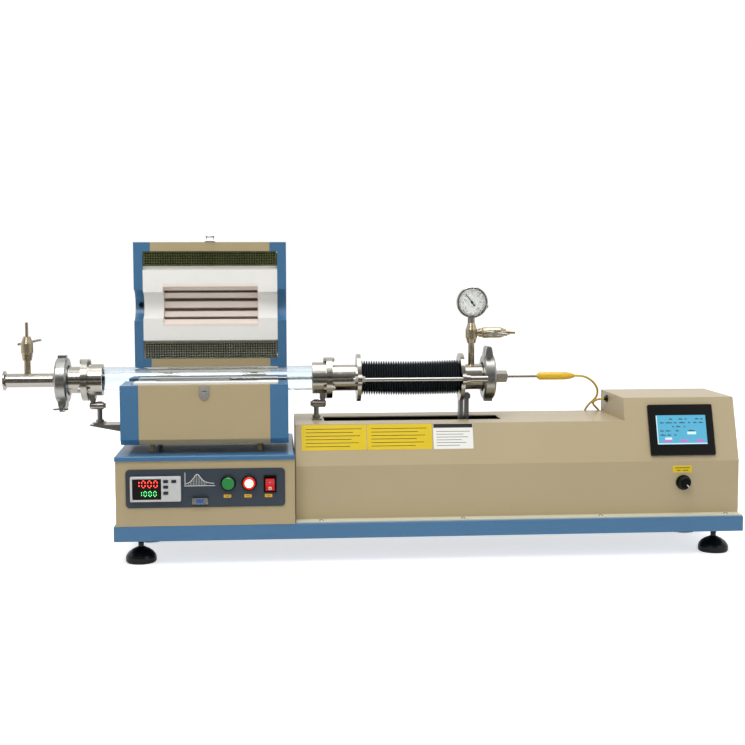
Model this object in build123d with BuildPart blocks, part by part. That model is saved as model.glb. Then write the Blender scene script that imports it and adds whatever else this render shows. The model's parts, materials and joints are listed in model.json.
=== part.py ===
from build123d import *
from math import cos, pi, radians, sin, tan
import os

# A bench tube furnace: a split furnace stands on its control box, a quartz tube runs through it,
# and a motor-driven carriage in the long housing compresses a bellows to push a probe along the tube.
# Millimetres. +X runs along the tube to the right, +Y away from the front, +Z up from the bench.

# ---------------------------------------------------------------- driving dimensions
CLEAR = 0.15  # between fixed pieces that fit one in another
RUN = 0.08  # radial running clearance of a shaft in its hole
SEAM = 0.3  # between pieces of different bodies

TRAY_LENGTH = 1234.0
TRAY_DEPTH = 310.0
TRAY_HEIGHT = 29.5
TRAY_SHEET = 2.0
TRAY_CORNER = 3.0
TRAY_WALL = 4.0
FOOT_HEIGHT = 51.0
FOOT_INSET_LEFT = 46.0
FOOT_INSET_RIGHT = 42.0
FOOT_SETBACK = 55.0
PAD_RADIUS = 30.0
PAD_RIM = 11.0
PAD_DOME = 29.5
NECK_RADIUS = 5.5
COLLAR_RADIUS = 8.0
STUD_RADIUS = 6.0
STUD_GRIP = 18.0
LOCK_NUT_ACROSS = 19.0
LOCK_NUT_HEIGHT = 8.0

CASE_INSET = 5.0
CASE_LENGTH = 342.0
CASE_HEIGHT = 126.0
CASE_SHEET = 1.5
TOP_PLATE_THICK = 9.5
TOP_PLATE_LIP = 3.0
TOP_PLATE_ROUND = 3.0
LOUVRE_COUNT = 7
LOUVRE_PITCH = 9.0
LOUVRE_HEIGHT = 3.5
LOUVRE_LENGTH = 70.0
LOUVRE_INSET = 50.0
LOUVRE_LIFT = 35.0

FASCIA_LENGTH = 303.0
FASCIA_HEIGHT = 74.0
FASCIA_CORNER = 8.0
FASCIA_THICK = 2.0
FASCIA_BASE = 36.0
METER_LENGTH = 96.0
METER_HEIGHT = 48.0
METER_PROUD = 8.0
METER_LIP = 3.0
METER_BODY_DEPTH = 78.0
WINDOW_LENGTH = 55.0
WINDOW_HEIGHT = 40.0
WINDOW_DEPTH = 1.5
METER_OFFSET = -94.5
METER_LIFT = 0.0
KEY_LENGTH = 9.0
KEY_HEIGHT = 5.6
KEY_PROUD = 1.2
KEY_GUIDE = 4.0
BEZEL_RADIUS = 14.5
BUTTON_RADIUS = 11.8
BUTTON_TRAVEL = 3.0
BUTTON_SPACING = 40.0
BUTTON_LIFT = 9.0
PANEL_BORE = 11.1
ROCKER_LENGTH = 17.0
ROCKER_HALF = 11.5
ROCKER_WALL = 1.2
ROCKER_PIN = 1.5
ROCKER_REST = 8.0
PORT_HALF = 9.0
INLET_LENGTH = 28.0
INLET_HEIGHT = 20.0

FURNACE_INSET = 14.0
FURNACE_SETBACK = 18.5
FURNACE_LENGTH = 321.5
FURNACE_DEPTH = 266.0
HALF_HEIGHT = 115.0
FURNACE_SHEET = 1.5
STANDOFF_HEIGHT = 18.0
STANDOFF_RADIUS = 5.0
STANDOFF_INSET_X = 56.0
STANDOFF_INSET_Y = 45.0
SPLIT_GAP = 0.6
LOWER_CHAMFER = 11.0
LID_CHAMFER = 40.0
CAP_LENGTH = 35.0
CAP_WALL = 19.0
RIM_WIDTH = 19.0
SHIELD_FRONT = 31.0
SHIELD_BACK = 36.0
SHIELD_THICK = 1.2
SHIELD_DROP = 2.5
SHIELD_EDGE = 12.0
FIBRE_WIDTH = 149.0
FIBRE_STEP = 9.0
LID_FIBRE_GAP = 22.0
NOTCH_GAP = 8.0
CHANNEL_GAP = 3.0
CHAMBER_GAP = 14.3
CHAMBER_LENGTH = 200.0
GROOVE_RADIUS = 4.0
COIL_RADIUS = 3.4
GROOVE_ANGLES = (-46.0, -15.5, 15.5, 46.0)
HINGE_SETBACK = 11.5
HINGE_INSET = 70.0
HINGE_WIDTH = 48.0
HINGE_PIN_RADIUS = 3.0
KNUCKLE_RADIUS = 5.5
LEAF_THICK = 2.5
LEAF_HEIGHT = 34.0
WEB_HEIGHT = 6.0
LID_ANGLE = 90.0

TUBE_RADIUS = 25.0
TUBE_WALL = 3.0
GAP_LEFT = 47.8
GAP_RIGHT = 50.0
SLEEVE_LENGTH = 28.0
SLEEVE_WALL = 7.0
RING_WIDTH = 10.0
RING_THICK = 6.0
BOLT_RADIUS = 2.5
BOLT_HEAD = 8.4
BOLT_HEAD_HEIGHT = 5.5
NUT_HEIGHT = 4.5
FITTING_WALL = 5.0
SPOOL_WALL = 4.5
LEFT_BODY_LENGTH = 39.2
KF50_LIP = 10.5
KF_RIM = 3.0
KF_TAPER = 2.5
CLAMP_WALL = 8.5
CLAMP_WIDTH = 23.0
NIPPLE_LENGTH = 116.0
NIPPLE_RADIUS = 14.0
NIPPLE_BORE = 12.5
KF25_RADIUS = 20.0
RISER_RADIUS = 6.35
RISER_WALL = 1.5
PORT_BORE = 4.35
NIPPLE_CONE = 13.5
VALVE_RADIUS = 12.0
OUTLET_RADIUS = 3.2
VALVE_BAR = 48.0
BAR_RADIUS = 2.8

SPOOL_LENGTH = 49.6
PLATE_WIDTH = 14.8
PLATE_THICK = 8.0
EAR_REACH = 7.5
EAR_RADIUS = 11.0
ROD_RADIUS = 4.0
BUSH_RADIUS = 6.5
BUSH_LENGTH = 43.0
BELLOWS_WALL = 3.5
PLEAT_DEPTH = 3.2
BELLOWS_LENGTH = 201.4
BELLOWS_PLEATS = 20
CARRIAGE_TRAVEL = 140.0
CARRIAGE_SPOOL = 52.0
GAUGE_RADIUS = 31.7
GAUGE_DEPTH = 28.0
GAUGE_LIFT = 152.4
POINTER_REST = -37.0
PROBE_RADIUS = 3.0
PROBE_INSERT = 117.0
HANDLE_LENGTH = 77.5
HANDLE_RADIUS = 8.0
FITTING_ACROSS = 21.0

HOUSING_FRONT = 33.3
HOUSING_BACK = 249.5
HOUSING_FOLD = 106.5
HOUSING_SLOPE = 19.07
LOW_TOP = 185.3
BOX_TOP = 230.0
BOX_LENGTH = 226.0
HOUSING_SHEET = 2.0
HOUSING_FLANGE = 27.0
REAR_FLANGE = 20.0
SLOT_START = 408.0
SLOT_LENGTH = 359.5
SLOT_WIDTH = 73.0
SCREEN_LENGTH = 132.0
SCREEN_HEIGHT = 104.0
SCREEN_OFFSET = 0.0
SCREEN_BASE = 11.0
SCREEN_PROUD = 6.0
SCREEN_DEPTH = 34.0
SCREEN_LIP = 5.0
PANE_LENGTH = 102.0
PANE_HEIGHT = 60.0
PANE_DEPTH = 1.5
KNOB_RADIUS = 15.0
KNOB_LIFT = 64.0
KNOB_DEPTH = 15.0
KNOB_STEM = 3.0
KNOB_GROOVES = 12
PANEL_HOLE = 5.0

DRIVE_LIFT = 124.5
SHAFT_SPREAD = 28.0
SHAFT_RADIUS = 8.0
SCREW_RADIUS = 6.0
BLOCK_LENGTH = 70.0
END_BLOCK = 15.0
MOTOR_SIZE = 57.0
MOTOR_LENGTH = 56.0
CABLE_RADIUS = 2.25

# ---------------------------------------------------------------- stations worked out from them
LEFT_REACH = GAP_LEFT + SLEEVE_LENGTH + 2 * RING_THICK + LEFT_BODY_LENGTH + NIPPLE_LENGTH - FURNACE_INSET
TRAY_LEFT = (LEFT_REACH - TRAY_LENGTH) / 2
TRAY_RIGHT = TRAY_LEFT + TRAY_LENGTH
BACK_REACH = FURNACE_SETBACK + FURNACE_DEPTH + HINGE_SETBACK + HALF_HEIGHT
BUTTON_PROUD = 12.0
TRAY_FRONT = (BUTTON_PROUD - BACK_REACH) / 2
TRAY_BACK = TRAY_FRONT + TRAY_DEPTH
DECK = FOOT_HEIGHT + TRAY_HEIGHT

CASE_LEFT = TRAY_LEFT + CASE_INSET
CASE_RIGHT = CASE_LEFT + CASE_LENGTH
CASE_TOP = DECK + CASE_HEIGHT
PLATE_TOP = CASE_TOP + TOP_PLATE_THICK
FASCIA_MID_X = (CASE_LEFT + CASE_RIGHT) / 2
FASCIA_MID_Z = DECK + FASCIA_BASE + FASCIA_HEIGHT / 2
PANEL = TRAY_FRONT - FASCIA_THICK

FURNACE_LEFT = TRAY_LEFT + FURNACE_INSET
FURNACE_RIGHT = FURNACE_LEFT + FURNACE_LENGTH
FURNACE_FRONT = TRAY_FRONT + FURNACE_SETBACK
FURNACE_BACK = FURNACE_FRONT + FURNACE_DEPTH
FURNACE_BASE = PLATE_TOP + STANDOFF_HEIGHT
FURNACE_MID = (FURNACE_LEFT + FURNACE_RIGHT) / 2
AXIS_Y = (FURNACE_FRONT + FURNACE_BACK) / 2
AXIS_Z = FURNACE_BASE + HALF_HEIGHT + SPLIT_GAP
HINGE_Y = FURNACE_BACK + HINGE_SETBACK

LINE_BORE = TUBE_RADIUS - TUBE_WALL
SLEEVE_RADIUS = TUBE_RADIUS + SLEEVE_WALL
RING_RADIUS = SLEEVE_RADIUS + RING_WIDTH
BOLT_CIRCLE = SLEEVE_RADIUS + RING_WIDTH / 2
BODY_RADIUS = LINE_BORE + FITTING_WALL
SPOOL_RADIUS = LINE_BORE + SPOOL_WALL
KF50_RADIUS = BODY_RADIUS + KF50_LIP
CLAMP_RADIUS = KF50_RADIUS + CLAMP_WALL
BELLOWS_ROOT = BODY_RADIUS + BELLOWS_WALL
BELLOWS_RADIUS = BELLOWS_ROOT + PLEAT_DEPTH
PLATE_RADIUS = BELLOWS_RADIUS + PLATE_WIDTH
EAR_OFFSET = PLATE_RADIUS + EAR_REACH
NOTCH_RADIUS = TUBE_RADIUS + NOTCH_GAP
CHANNEL_RADIUS = TUBE_RADIUS + CHANNEL_GAP
CHAMBER_RADIUS = TUBE_RADIUS + CHAMBER_GAP

LEFT_RING = FURNACE_LEFT - GAP_LEFT - SLEEVE_LENGTH
LEFT_JOINT = LEFT_RING - RING_THICK
LEFT_KF = LEFT_JOINT - RING_THICK - LEFT_BODY_LENGTH
LINE_END = LEFT_KF - NIPPLE_LENGTH
RIGHT_SLEEVE = FURNACE_RIGHT + GAP_RIGHT
RIGHT_JOINT = RIGHT_SLEEVE + SLEEVE_LENGTH + RING_THICK
FIXED_PLATE = RIGHT_JOINT + RING_THICK + SPOOL_LENGTH
MOVING_PLATE = FIXED_PLATE + PLATE_THICK + BELLOWS_LENGTH + 2 * SEAM
CARRIAGE_FACE = MOVING_PLATE + PLATE_THICK
CARRIAGE_KF = CARRIAGE_FACE + CARRIAGE_SPOOL
RISER_X = CARRIAGE_FACE + 18.0
TEE_LOW = AXIS_Z + 69.0
TEE_MID = AXIS_Z + 90.0
TEE_HIGH = AXIS_Z + 110.0
GAUGE_Z = AXIS_Z + GAUGE_LIFT
LEFT_RISER_X = LEFT_KF - 69.5
HANDLE_START = CARRIAGE_KF + 103.0
HANDLE_END = HANDLE_START + HANDLE_LENGTH
PROBE_TIP = FURNACE_RIGHT - PROBE_INSERT

HOUSING_LEFT = CASE_RIGHT + 2.0
HOUSING_RIGHT = TRAY_RIGHT
FACE_Y = TRAY_FRONT + HOUSING_FRONT
BACK_Y = TRAY_FRONT + HOUSING_BACK
FOLD_Z = DECK + HOUSING_FOLD
LOW_Z = DECK + LOW_TOP
BOX_Z = DECK + BOX_TOP
BOX_LEFT = HOUSING_RIGHT - BOX_LENGTH
SLOT_LEFT = TRAY_LEFT + SLOT_START
SLOT_RIGHT = SLOT_LEFT + SLOT_LENGTH
DRIVE_Z = DECK + DRIVE_LIFT
KNOB_X = HOUSING_RIGHT - BOX_LENGTH / 2
KNOB_Z = DECK + KNOB_LIFT
LATCH_X = FURNACE_MID
TUBE_AXIS = Axis((0, AXIS_Y, AXIS_Z), (1, 0, 0))
HINGE_AXIS = Axis((0, HINGE_Y, AXIS_Z), (1, 0, 0))
LINE_PLANE = Plane(origin=(0, AXIS_Y, AXIS_Z), x_dir=(1, 0, 0), z_dir=(0, -1, 0))


# ---------------------------------------------------------------- shared shapes
def block(x0, x1, y0, y1, z0, z1, mode=Mode.ADD):
    """A box given by its corners."""
    with BuildSketch(Plane.XY.offset(z0)) as section:
        with Locations(((x0 + x1) / 2, (y0 + y1) / 2)):
            Rectangle(x1 - x0, y1 - y0)
    extrude(section.sketch, amount=z1 - z0, mode=mode)


def prism(plane, outline, length, mode=Mode.ADD):
    """A straight bar of the given outline, drawn on the plane."""
    with BuildSketch(plane) as section:
        with BuildLine():
            Polyline(*outline, close=True)
        make_face()
    extrude(section.sketch, amount=length, mode=mode)


def lathe(outline, plane=LINE_PLANE, axis=TUBE_AXIS, mode=Mode.ADD):
    """A turned piece; the outline is in (along the axis, radius)."""
    with BuildSketch(plane) as section:
        with BuildLine():
            Polyline(*outline, close=True)
        make_face()
    revolve(section.sketch, axis=axis, mode=mode)


def ring(x0, x1, outer, inner):
    """A plain turned ring or tube about the tube axis."""
    lathe([(x0, inner), (x1, inner), (x1, outer), (x0, outer)])


def rod(start, direction, radius, length, mode=Mode.ADD):
    """A round bar from a point along a direction."""
    with BuildSketch(Plane(origin=start, z_dir=direction)) as section:
        Circle(radius)
    extrude(section.sketch, amount=length, mode=mode)


def hexagon(start, direction, across, length):
    """A hexagonal bar, sized across its flats."""
    with BuildSketch(Plane(origin=start, z_dir=direction)) as section:
        RegularPolygon(across / 2, 6, major_radius=False)
    extrude(section.sketch, amount=length)


def section_plane(x):
    """Across the length: local x is +Y and local y is +Z."""
    return Plane(origin=(x, 0, 0), x_dir=(0, 1, 0), z_dir=(1, 0, 0))


def side_plane(y):
    """Facing the front: local x is +X and local y is +Z."""
    return Plane(origin=(0, y, 0), x_dir=(1, 0, 0), z_dir=(0, -1, 0))


def save(piece, name):
    """Labels a finished piece and writes its file."""
    piece.label = name
    export_step(piece, f"parts/{name}.step")


os.makedirs("parts", exist_ok=True)


# ---------------------------------------------------------------- base tray and feet
FOOT_PLACES = [
    (x, y)
    for y in (TRAY_FRONT + FOOT_SETBACK, TRAY_BACK - FOOT_SETBACK)
    for x in (TRAY_LEFT + FOOT_INSET_LEFT, TRAY_RIGHT - FOOT_INSET_RIGHT)
]
with BuildPart() as base_tray:
    block(TRAY_LEFT, TRAY_RIGHT, TRAY_FRONT, TRAY_BACK, FOOT_HEIGHT, DECK)
    fillet(base_tray.edges().filter_by(Axis.Z), TRAY_CORNER)
    fillet(base_tray.faces().sort_by(Axis.Z)[-1].edges(), TRAY_SHEET)
    block(
        TRAY_LEFT + TRAY_WALL,
        TRAY_RIGHT - TRAY_WALL,
        TRAY_FRONT + TRAY_WALL,
        TRAY_BACK - TRAY_WALL,
        FOOT_HEIGHT + TRAY_SHEET,
        DECK - TRAY_SHEET,
        Mode.SUBTRACT,
    )
    for x, y in FOOT_PLACES:
        rod((x, y, FOOT_HEIGHT), (0, 0, 1), 2 * STUD_RADIUS, TRAY_HEIGHT - TRAY_SHEET)
        rod((x, y, FOOT_HEIGHT), (0, 0, 1), STUD_RADIUS + CLEAR, STUD_GRIP + 1, mode=Mode.SUBTRACT)
save(base_tray.part, "base_tray")

FOOT_OUTLINE = [
    (0, 0),
    (PAD_RADIUS - 2, 0),
    (PAD_RADIUS, 3),
    (PAD_RADIUS, PAD_RIM),
    (PAD_RADIUS * 0.94, PAD_DOME * 0.52),
    (PAD_RADIUS * 0.8, PAD_DOME * 0.7),
    (PAD_RADIUS * 0.58, PAD_DOME * 0.87),
    (PAD_RADIUS * 0.3, PAD_DOME),
    (NECK_RADIUS, PAD_DOME + 1.5),
    (NECK_RADIUS, FOOT_HEIGHT - LOCK_NUT_HEIGHT - 5),
    (COLLAR_RADIUS, FOOT_HEIGHT - LOCK_NUT_HEIGHT - 2),
    (COLLAR_RADIUS, FOOT_HEIGHT - LOCK_NUT_HEIGHT),
    (STUD_RADIUS, FOOT_HEIGHT - LOCK_NUT_HEIGHT),
    (STUD_RADIUS, FOOT_HEIGHT + STUD_GRIP),
    (0, FOOT_HEIGHT + STUD_GRIP),
]
with BuildPart() as levelling_feet:
    for x, y in FOOT_PLACES:
        upright = Plane(origin=(x, y, 0), x_dir=(0, 0, 1), z_dir=(0, -1, 0))
        heights = [(z, -r) for r, z in FOOT_OUTLINE]
        lathe(heights, upright, Axis((x, y, 0), (0, 0, 1)))
        under_tray = (x, y, FOOT_HEIGHT - LOCK_NUT_HEIGHT)
        hexagon(under_tray, (0, 0, 1), LOCK_NUT_ACROSS, LOCK_NUT_HEIGHT)
save(levelling_feet.part, "levelling_feet")


# ---------------------------------------------------------------- control box
METER_X = FASCIA_MID_X + METER_OFFSET
METER_Z = FASCIA_MID_Z + METER_LIFT
KEY_PLACES = {
    "key_set": (METER_X + 19.5, METER_Z + 15.0),
    "key_down": (METER_X + 19.5, METER_Z + 4.3),
    "key_up": (METER_X + 19.5, METER_Z - 7.3),
    "key_shift": (METER_X + 35.0, METER_Z + 15.0),
}
BUTTON_Z = FASCIA_MID_Z + BUTTON_LIFT
GREEN_X = FASCIA_MID_X + 43.0
RED_X = GREEN_X + BUTTON_SPACING
ROCKER_X = RED_X + BUTTON_SPACING
ROCKER_Z = BUTTON_Z - 2.5
ROCKER_CUT = ROCKER_HALF + 1.5
PORT_X = FASCIA_MID_X - 10.5
PORT_Z = FASCIA_MID_Z - 24.0
INLET_X = CASE_LEFT + 60.0
INLET_Z = DECK + 40.0


def panel_cuts(y0, y1):
    """The holes through the front of the control box and its fascia."""
    cut = Mode.SUBTRACT
    half_length = METER_LENGTH / 2 - METER_LIP
    half_height = METER_HEIGHT / 2 - METER_LIP
    block(METER_X - half_length, METER_X + half_length, y0, y1, METER_Z - half_height, METER_Z + half_height, cut)
    for x in (GREEN_X, RED_X):
        rod((x, y0, BUTTON_Z), (0, 1, 0), PANEL_BORE, y1 - y0, cut)
    half_x, half_z = ROCKER_LENGTH / 2 + ROCKER_WALL + CLEAR, ROCKER_CUT + ROCKER_WALL + CLEAR
    block(ROCKER_X - half_x, ROCKER_X + half_x, y0, y1, ROCKER_Z - half_z, ROCKER_Z + half_z, cut)
    block(PORT_X - PORT_HALF, PORT_X + PORT_HALF, y0, y1, PORT_Z - PORT_HALF / 2, PORT_Z + PORT_HALF / 2, cut)


with BuildPart() as control_case:
    block(CASE_LEFT, CASE_RIGHT, TRAY_FRONT, TRAY_BACK, DECK, CASE_TOP)
    block(
        CASE_LEFT + CASE_SHEET,
        CASE_RIGHT - CASE_SHEET,
        TRAY_FRONT + CASE_SHEET,
        TRAY_BACK - CASE_SHEET,
        DECK + CASE_SHEET,
        CASE_TOP - CASE_SHEET,
        Mode.SUBTRACT,
    )
    panel_cuts(TRAY_FRONT - 1, TRAY_FRONT + CASE_SHEET + 1)
    cut_front, cut_back = TRAY_BACK - CASE_SHEET - 1, TRAY_BACK + 1
    half_x, half_z = INLET_LENGTH / 2, INLET_HEIGHT / 2
    block(INLET_X - half_x, INLET_X + half_x, cut_front, cut_back, INLET_Z - half_z, INLET_Z + half_z, Mode.SUBTRACT)
    for step in range(LOUVRE_COUNT):
        slot_z = DECK + LOUVRE_LIFT + LOUVRE_PITCH * step
        slot_right = CASE_RIGHT - LOUVRE_INSET
        block(slot_right - LOUVRE_LENGTH, slot_right, cut_front, cut_back, slot_z, slot_z + LOUVRE_HEIGHT, Mode.SUBTRACT)
save(control_case.part, "control_case")

with BuildPart() as case_top_plate:
    plate_left = CASE_LEFT - TOP_PLATE_LIP / 2
    block(plate_left, CASE_RIGHT, TRAY_FRONT - TOP_PLATE_LIP, TRAY_BACK + TOP_PLATE_LIP, CASE_TOP, PLATE_TOP)
    fillet(case_top_plate.edges().filter_by(Axis.Z), TOP_PLATE_ROUND)
    fillet(case_top_plate.faces().sort_by(Axis.Z)[-1].edges(), TOP_PLATE_ROUND)
    wall = TOP_PLATE_ROUND + 1
    block(
        CASE_LEFT + wall,
        CASE_RIGHT - wall,
        TRAY_FRONT + wall,
        TRAY_BACK - wall,
        CASE_TOP + CASE_SHEET,
        PLATE_TOP - CASE_SHEET,
        Mode.SUBTRACT,
    )
save(case_top_plate.part, "case_top_plate")

with BuildPart() as fascia_plate:
    with BuildSketch(side_plane(TRAY_FRONT)):
        with Locations((FASCIA_MID_X, FASCIA_MID_Z)):
            RectangleRounded(FASCIA_LENGTH, FASCIA_HEIGHT, FASCIA_CORNER)
    extrude(amount=FASCIA_THICK)
    panel_cuts(PANEL - 1, TRAY_FRONT + 1)
save(fascia_plate.part, "fascia_plate")

METER_FACE = PANEL - METER_PROUD
WINDOW_LEFT = METER_X - METER_LENGTH / 2 + METER_LIP + 1
with BuildPart() as panel_meter:
    with BuildSketch(side_plane(PANEL)):
        with Locations((METER_X, METER_Z)):
            RectangleRounded(METER_LENGTH, METER_HEIGHT, 2.5)
    extrude(amount=METER_PROUD)
    chamfer(panel_meter.faces().sort_by(Axis.Y)[0].edges(), 1.2)
    body_x = METER_LENGTH / 2 - METER_LIP - CLEAR
    body_z = METER_HEIGHT / 2 - METER_LIP - CLEAR
    body_back = TRAY_FRONT + METER_BODY_DEPTH
    block(METER_X - body_x, METER_X + body_x, PANEL - 1, body_back, METER_Z - body_z, METER_Z + body_z)
    half_z = WINDOW_HEIGHT / 2
    sunk = METER_FACE + WINDOW_DEPTH
    block(WINDOW_LEFT, WINDOW_LEFT + WINDOW_LENGTH, METER_FACE - 1, sunk, METER_Z - half_z, METER_Z + half_z, Mode.SUBTRACT)
    half_x = KEY_LENGTH / 2 + SEAM
    half_z = KEY_HEIGHT / 2 + SEAM
    sunk = METER_FACE + KEY_GUIDE + 1
    for x, z in KEY_PLACES.values():
        block(x - half_x, x + half_x, METER_FACE - 1, sunk, z - half_z, z + half_z, Mode.SUBTRACT)
save(panel_meter.part, "panel_meter")

for name, (x, z) in KEY_PLACES.items():
    with BuildPart() as meter_key:
        with BuildSketch(side_plane(METER_FACE + KEY_GUIDE)):
            with Locations((x, z)):
                RectangleRounded(KEY_LENGTH, KEY_HEIGHT, 1.4)
        extrude(amount=KEY_GUIDE + KEY_PROUD)
        fillet(meter_key.faces().sort_by(Axis.Y)[0].edges(), 0.5)
    save(meter_key.part, name)

BEZEL_WEB = 0.8
STEM_RADIUS = 8.8
STEM_DEPTH = 12.0
BEZEL_DEPTH = 20.0
BEZEL_RISE = 7.0
ROCKER_FRAME = 3.5
ROCKER_TRAY = 16.0
ROCKER_PIVOT_Y = TRAY_FRONT + 2.0
PORT_PLATE_HALF = 15.0
with BuildPart() as panel_fittings:
    for x in (GREEN_X, RED_X):
        bezel_plane = Plane(origin=(x, PANEL, BUTTON_Z), x_dir=(0, -1, 0), z_dir=(0, 0, 1))
        bezel_outline = [
            (0, BEZEL_RADIUS),
            (0, PANEL_BORE - CLEAR),
            (-BEZEL_DEPTH, PANEL_BORE - CLEAR),
            (-BEZEL_DEPTH, STEM_RADIUS + 0.4),
            (BEZEL_WEB, STEM_RADIUS + 0.4),
            (BEZEL_WEB, BUTTON_RADIUS + SEAM),
            (BEZEL_RISE - 0.5, BUTTON_RADIUS + SEAM),
            (BEZEL_RISE, BUTTON_RADIUS + 1.2),
            (BEZEL_RISE - 2, BEZEL_RADIUS),
        ]
        lathe(bezel_outline, bezel_plane, Axis((x, PANEL, BUTTON_Z), (0, 1, 0)))
    half_x, half_z = ROCKER_LENGTH / 2 + ROCKER_FRAME, ROCKER_CUT + ROCKER_FRAME
    block(ROCKER_X - half_x, ROCKER_X + half_x, PANEL - 2.5, PANEL, ROCKER_Z - half_z, ROCKER_Z + half_z)
    half_x, half_z = ROCKER_LENGTH / 2 + ROCKER_WALL, ROCKER_CUT + ROCKER_WALL
    tray_back = TRAY_FRONT + ROCKER_TRAY
    block(ROCKER_X - half_x, ROCKER_X + half_x, PANEL, tray_back, ROCKER_Z - half_z, ROCKER_Z + half_z)
    half_x, half_z = ROCKER_LENGTH / 2 + SEAM, ROCKER_CUT
    swing_back = tray_back - 2
    low_z, high_z = ROCKER_Z - half_z, ROCKER_Z + half_z
    block(ROCKER_X - half_x, ROCKER_X + half_x, PANEL - 3, swing_back, low_z, high_z, Mode.SUBTRACT)
    half_x = ROCKER_LENGTH / 2 + 2
    pin_start = (ROCKER_X - half_x, ROCKER_PIVOT_Y, ROCKER_Z)
    rod(pin_start, (1, 0, 0), ROCKER_PIN + RUN, 2 * half_x, Mode.SUBTRACT)
    half_x = PORT_PLATE_HALF
    block(PORT_X - half_x, PORT_X + half_x, PANEL - 1.2, PANEL, PORT_Z - 6.5, PORT_Z + 6.5)
    port_outline = [(-8.5, 4.2), (8.5, 4.2), (7, -4.2), (-7, -4.2)]
    prism(Plane(origin=(PORT_X, TRAY_FRONT + 8, PORT_Z), x_dir=(1, 0, 0), z_dir=(0, -1, 0)), port_outline, 15)
    for side in (-1, 1):
        hexagon((PORT_X + side * 12.5, PANEL, PORT_Z), (0, -1, 0), 5, 5)
save(panel_fittings.part, "panel_fittings")


def push_button(x):
    """A round cap on a stem that slides in its bezel."""
    button_plane = Plane(origin=(x, PANEL, BUTTON_Z), x_dir=(0, -1, 0), z_dir=(0, 0, 1))
    cap_back = BEZEL_WEB + 0.2 + BUTTON_TRAVEL
    cap_front = BUTTON_PROUD - FASCIA_THICK
    outline = [
        (-STEM_DEPTH, 0),
        (-STEM_DEPTH, STEM_RADIUS),
        (cap_back, STEM_RADIUS),
        (cap_back, BUTTON_RADIUS),
        (cap_front - 1.5, BUTTON_RADIUS),
        (cap_front, BUTTON_RADIUS - 1.5),
        (cap_front, 0),
    ]
    lathe(outline, button_plane, Axis((x, PANEL, BUTTON_Z), (0, 1, 0)))


with BuildPart() as green_button:
    push_button(GREEN_X)
save(green_button.part, "green_button")

with BuildPart() as red_button:
    push_button(RED_X)
save(red_button.part, "red_button")

with BuildPart() as power_rocker:
    with BuildSketch(section_plane(ROCKER_X - ROCKER_LENGTH / 2)):
        with BuildLine():
            crest = Polyline(
                (ROCKER_PIVOT_Y + 4, ROCKER_Z - ROCKER_HALF + 2.5),
                (ROCKER_PIVOT_Y - 10, ROCKER_Z - ROCKER_HALF),
                (ROCKER_PIVOT_Y - 8, ROCKER_Z),
                (ROCKER_PIVOT_Y - 10, ROCKER_Z + ROCKER_HALF),
                (ROCKER_PIVOT_Y + 4, ROCKER_Z + ROCKER_HALF - 2.5),
            )
            ThreePointArc(crest @ 1, (ROCKER_PIVOT_Y + 8, ROCKER_Z), crest @ 0)
        make_face()
    extrude(amount=ROCKER_LENGTH)
    half_x = ROCKER_LENGTH / 2 + 1
    rod((ROCKER_X - half_x, ROCKER_PIVOT_Y, ROCKER_Z), (1, 0, 0), ROCKER_PIN, 2 * half_x)
rocker_axis = Axis((ROCKER_X, ROCKER_PIVOT_Y, ROCKER_Z), (1, 0, 0))
save(power_rocker.part.rotate(rocker_axis, ROCKER_REST), "power_rocker")


# ---------------------------------------------------------------- furnace halves
def half_outline(chamfer_size):
    """The outer outline of the lower half in (Y, Z), open edge at the top."""
    top = AXIS_Z - SPLIT_GAP
    return [
        (FURNACE_FRONT, top),
        (FURNACE_FRONT, FURNACE_BASE + chamfer_size),
        (FURNACE_FRONT + chamfer_size, FURNACE_BASE),
        (FURNACE_BACK - chamfer_size, FURNACE_BASE),
        (FURNACE_BACK, FURNACE_BASE + chamfer_size),
        (FURNACE_BACK, top),
    ]


def half_case(chamfer_size):
    """The folded sheet between the end caps, with a rim turned in at the split."""
    left = FURNACE_LEFT + CAP_LENGTH + CLEAR
    right = FURNACE_RIGHT - CAP_LENGTH - CLEAR
    with BuildSketch(section_plane(left)) as section:
        with BuildLine():
            Polyline(*half_outline(chamfer_size), close=True)
        face = make_face()
        offset(face, amount=-FURNACE_SHEET, kind=Kind.INTERSECTION, mode=Mode.SUBTRACT)
    extrude(section.sketch, amount=right - left)
    open_front, open_back = FURNACE_FRONT + RIM_WIDTH, FURNACE_BACK - RIM_WIDTH
    rim_low = AXIS_Z - 3 * SPLIT_GAP - FURNACE_SHEET
    block(left - 1, right + 1, open_front, open_back, rim_low, AXIS_Z, Mode.SUBTRACT)


def inset_outline(chamfer_size, inset):
    """The half's outline moved in by a wall."""
    top = AXIS_Z - SPLIT_GAP - inset
    front, back, base = FURNACE_FRONT + inset, FURNACE_BACK - inset, FURNACE_BASE + inset
    corner = chamfer_size - inset * (2 - 2**0.5)
    return [
        (front, top),
        (front, base + corner),
        (front + corner, base),
        (back - corner, base),
        (back, base + corner),
        (back, top),
    ]


def cap_cavity(start, chamfer_size):
    """The closed hollow inside one end cap's thick wall, below the tube notch."""
    length = CAP_WALL - 2 * FURNACE_SHEET
    with BuildSketch(section_plane(start)) as section:
        with BuildLine():
            Polyline(*inset_outline(chamfer_size, FURNACE_SHEET), close=True)
        make_face()
        with Locations((AXIS_Y, AXIS_Z)):
            Circle(NOTCH_RADIUS + FURNACE_SHEET, mode=Mode.SUBTRACT)
    extrude(section.sketch, amount=length, mode=Mode.SUBTRACT)


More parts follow.
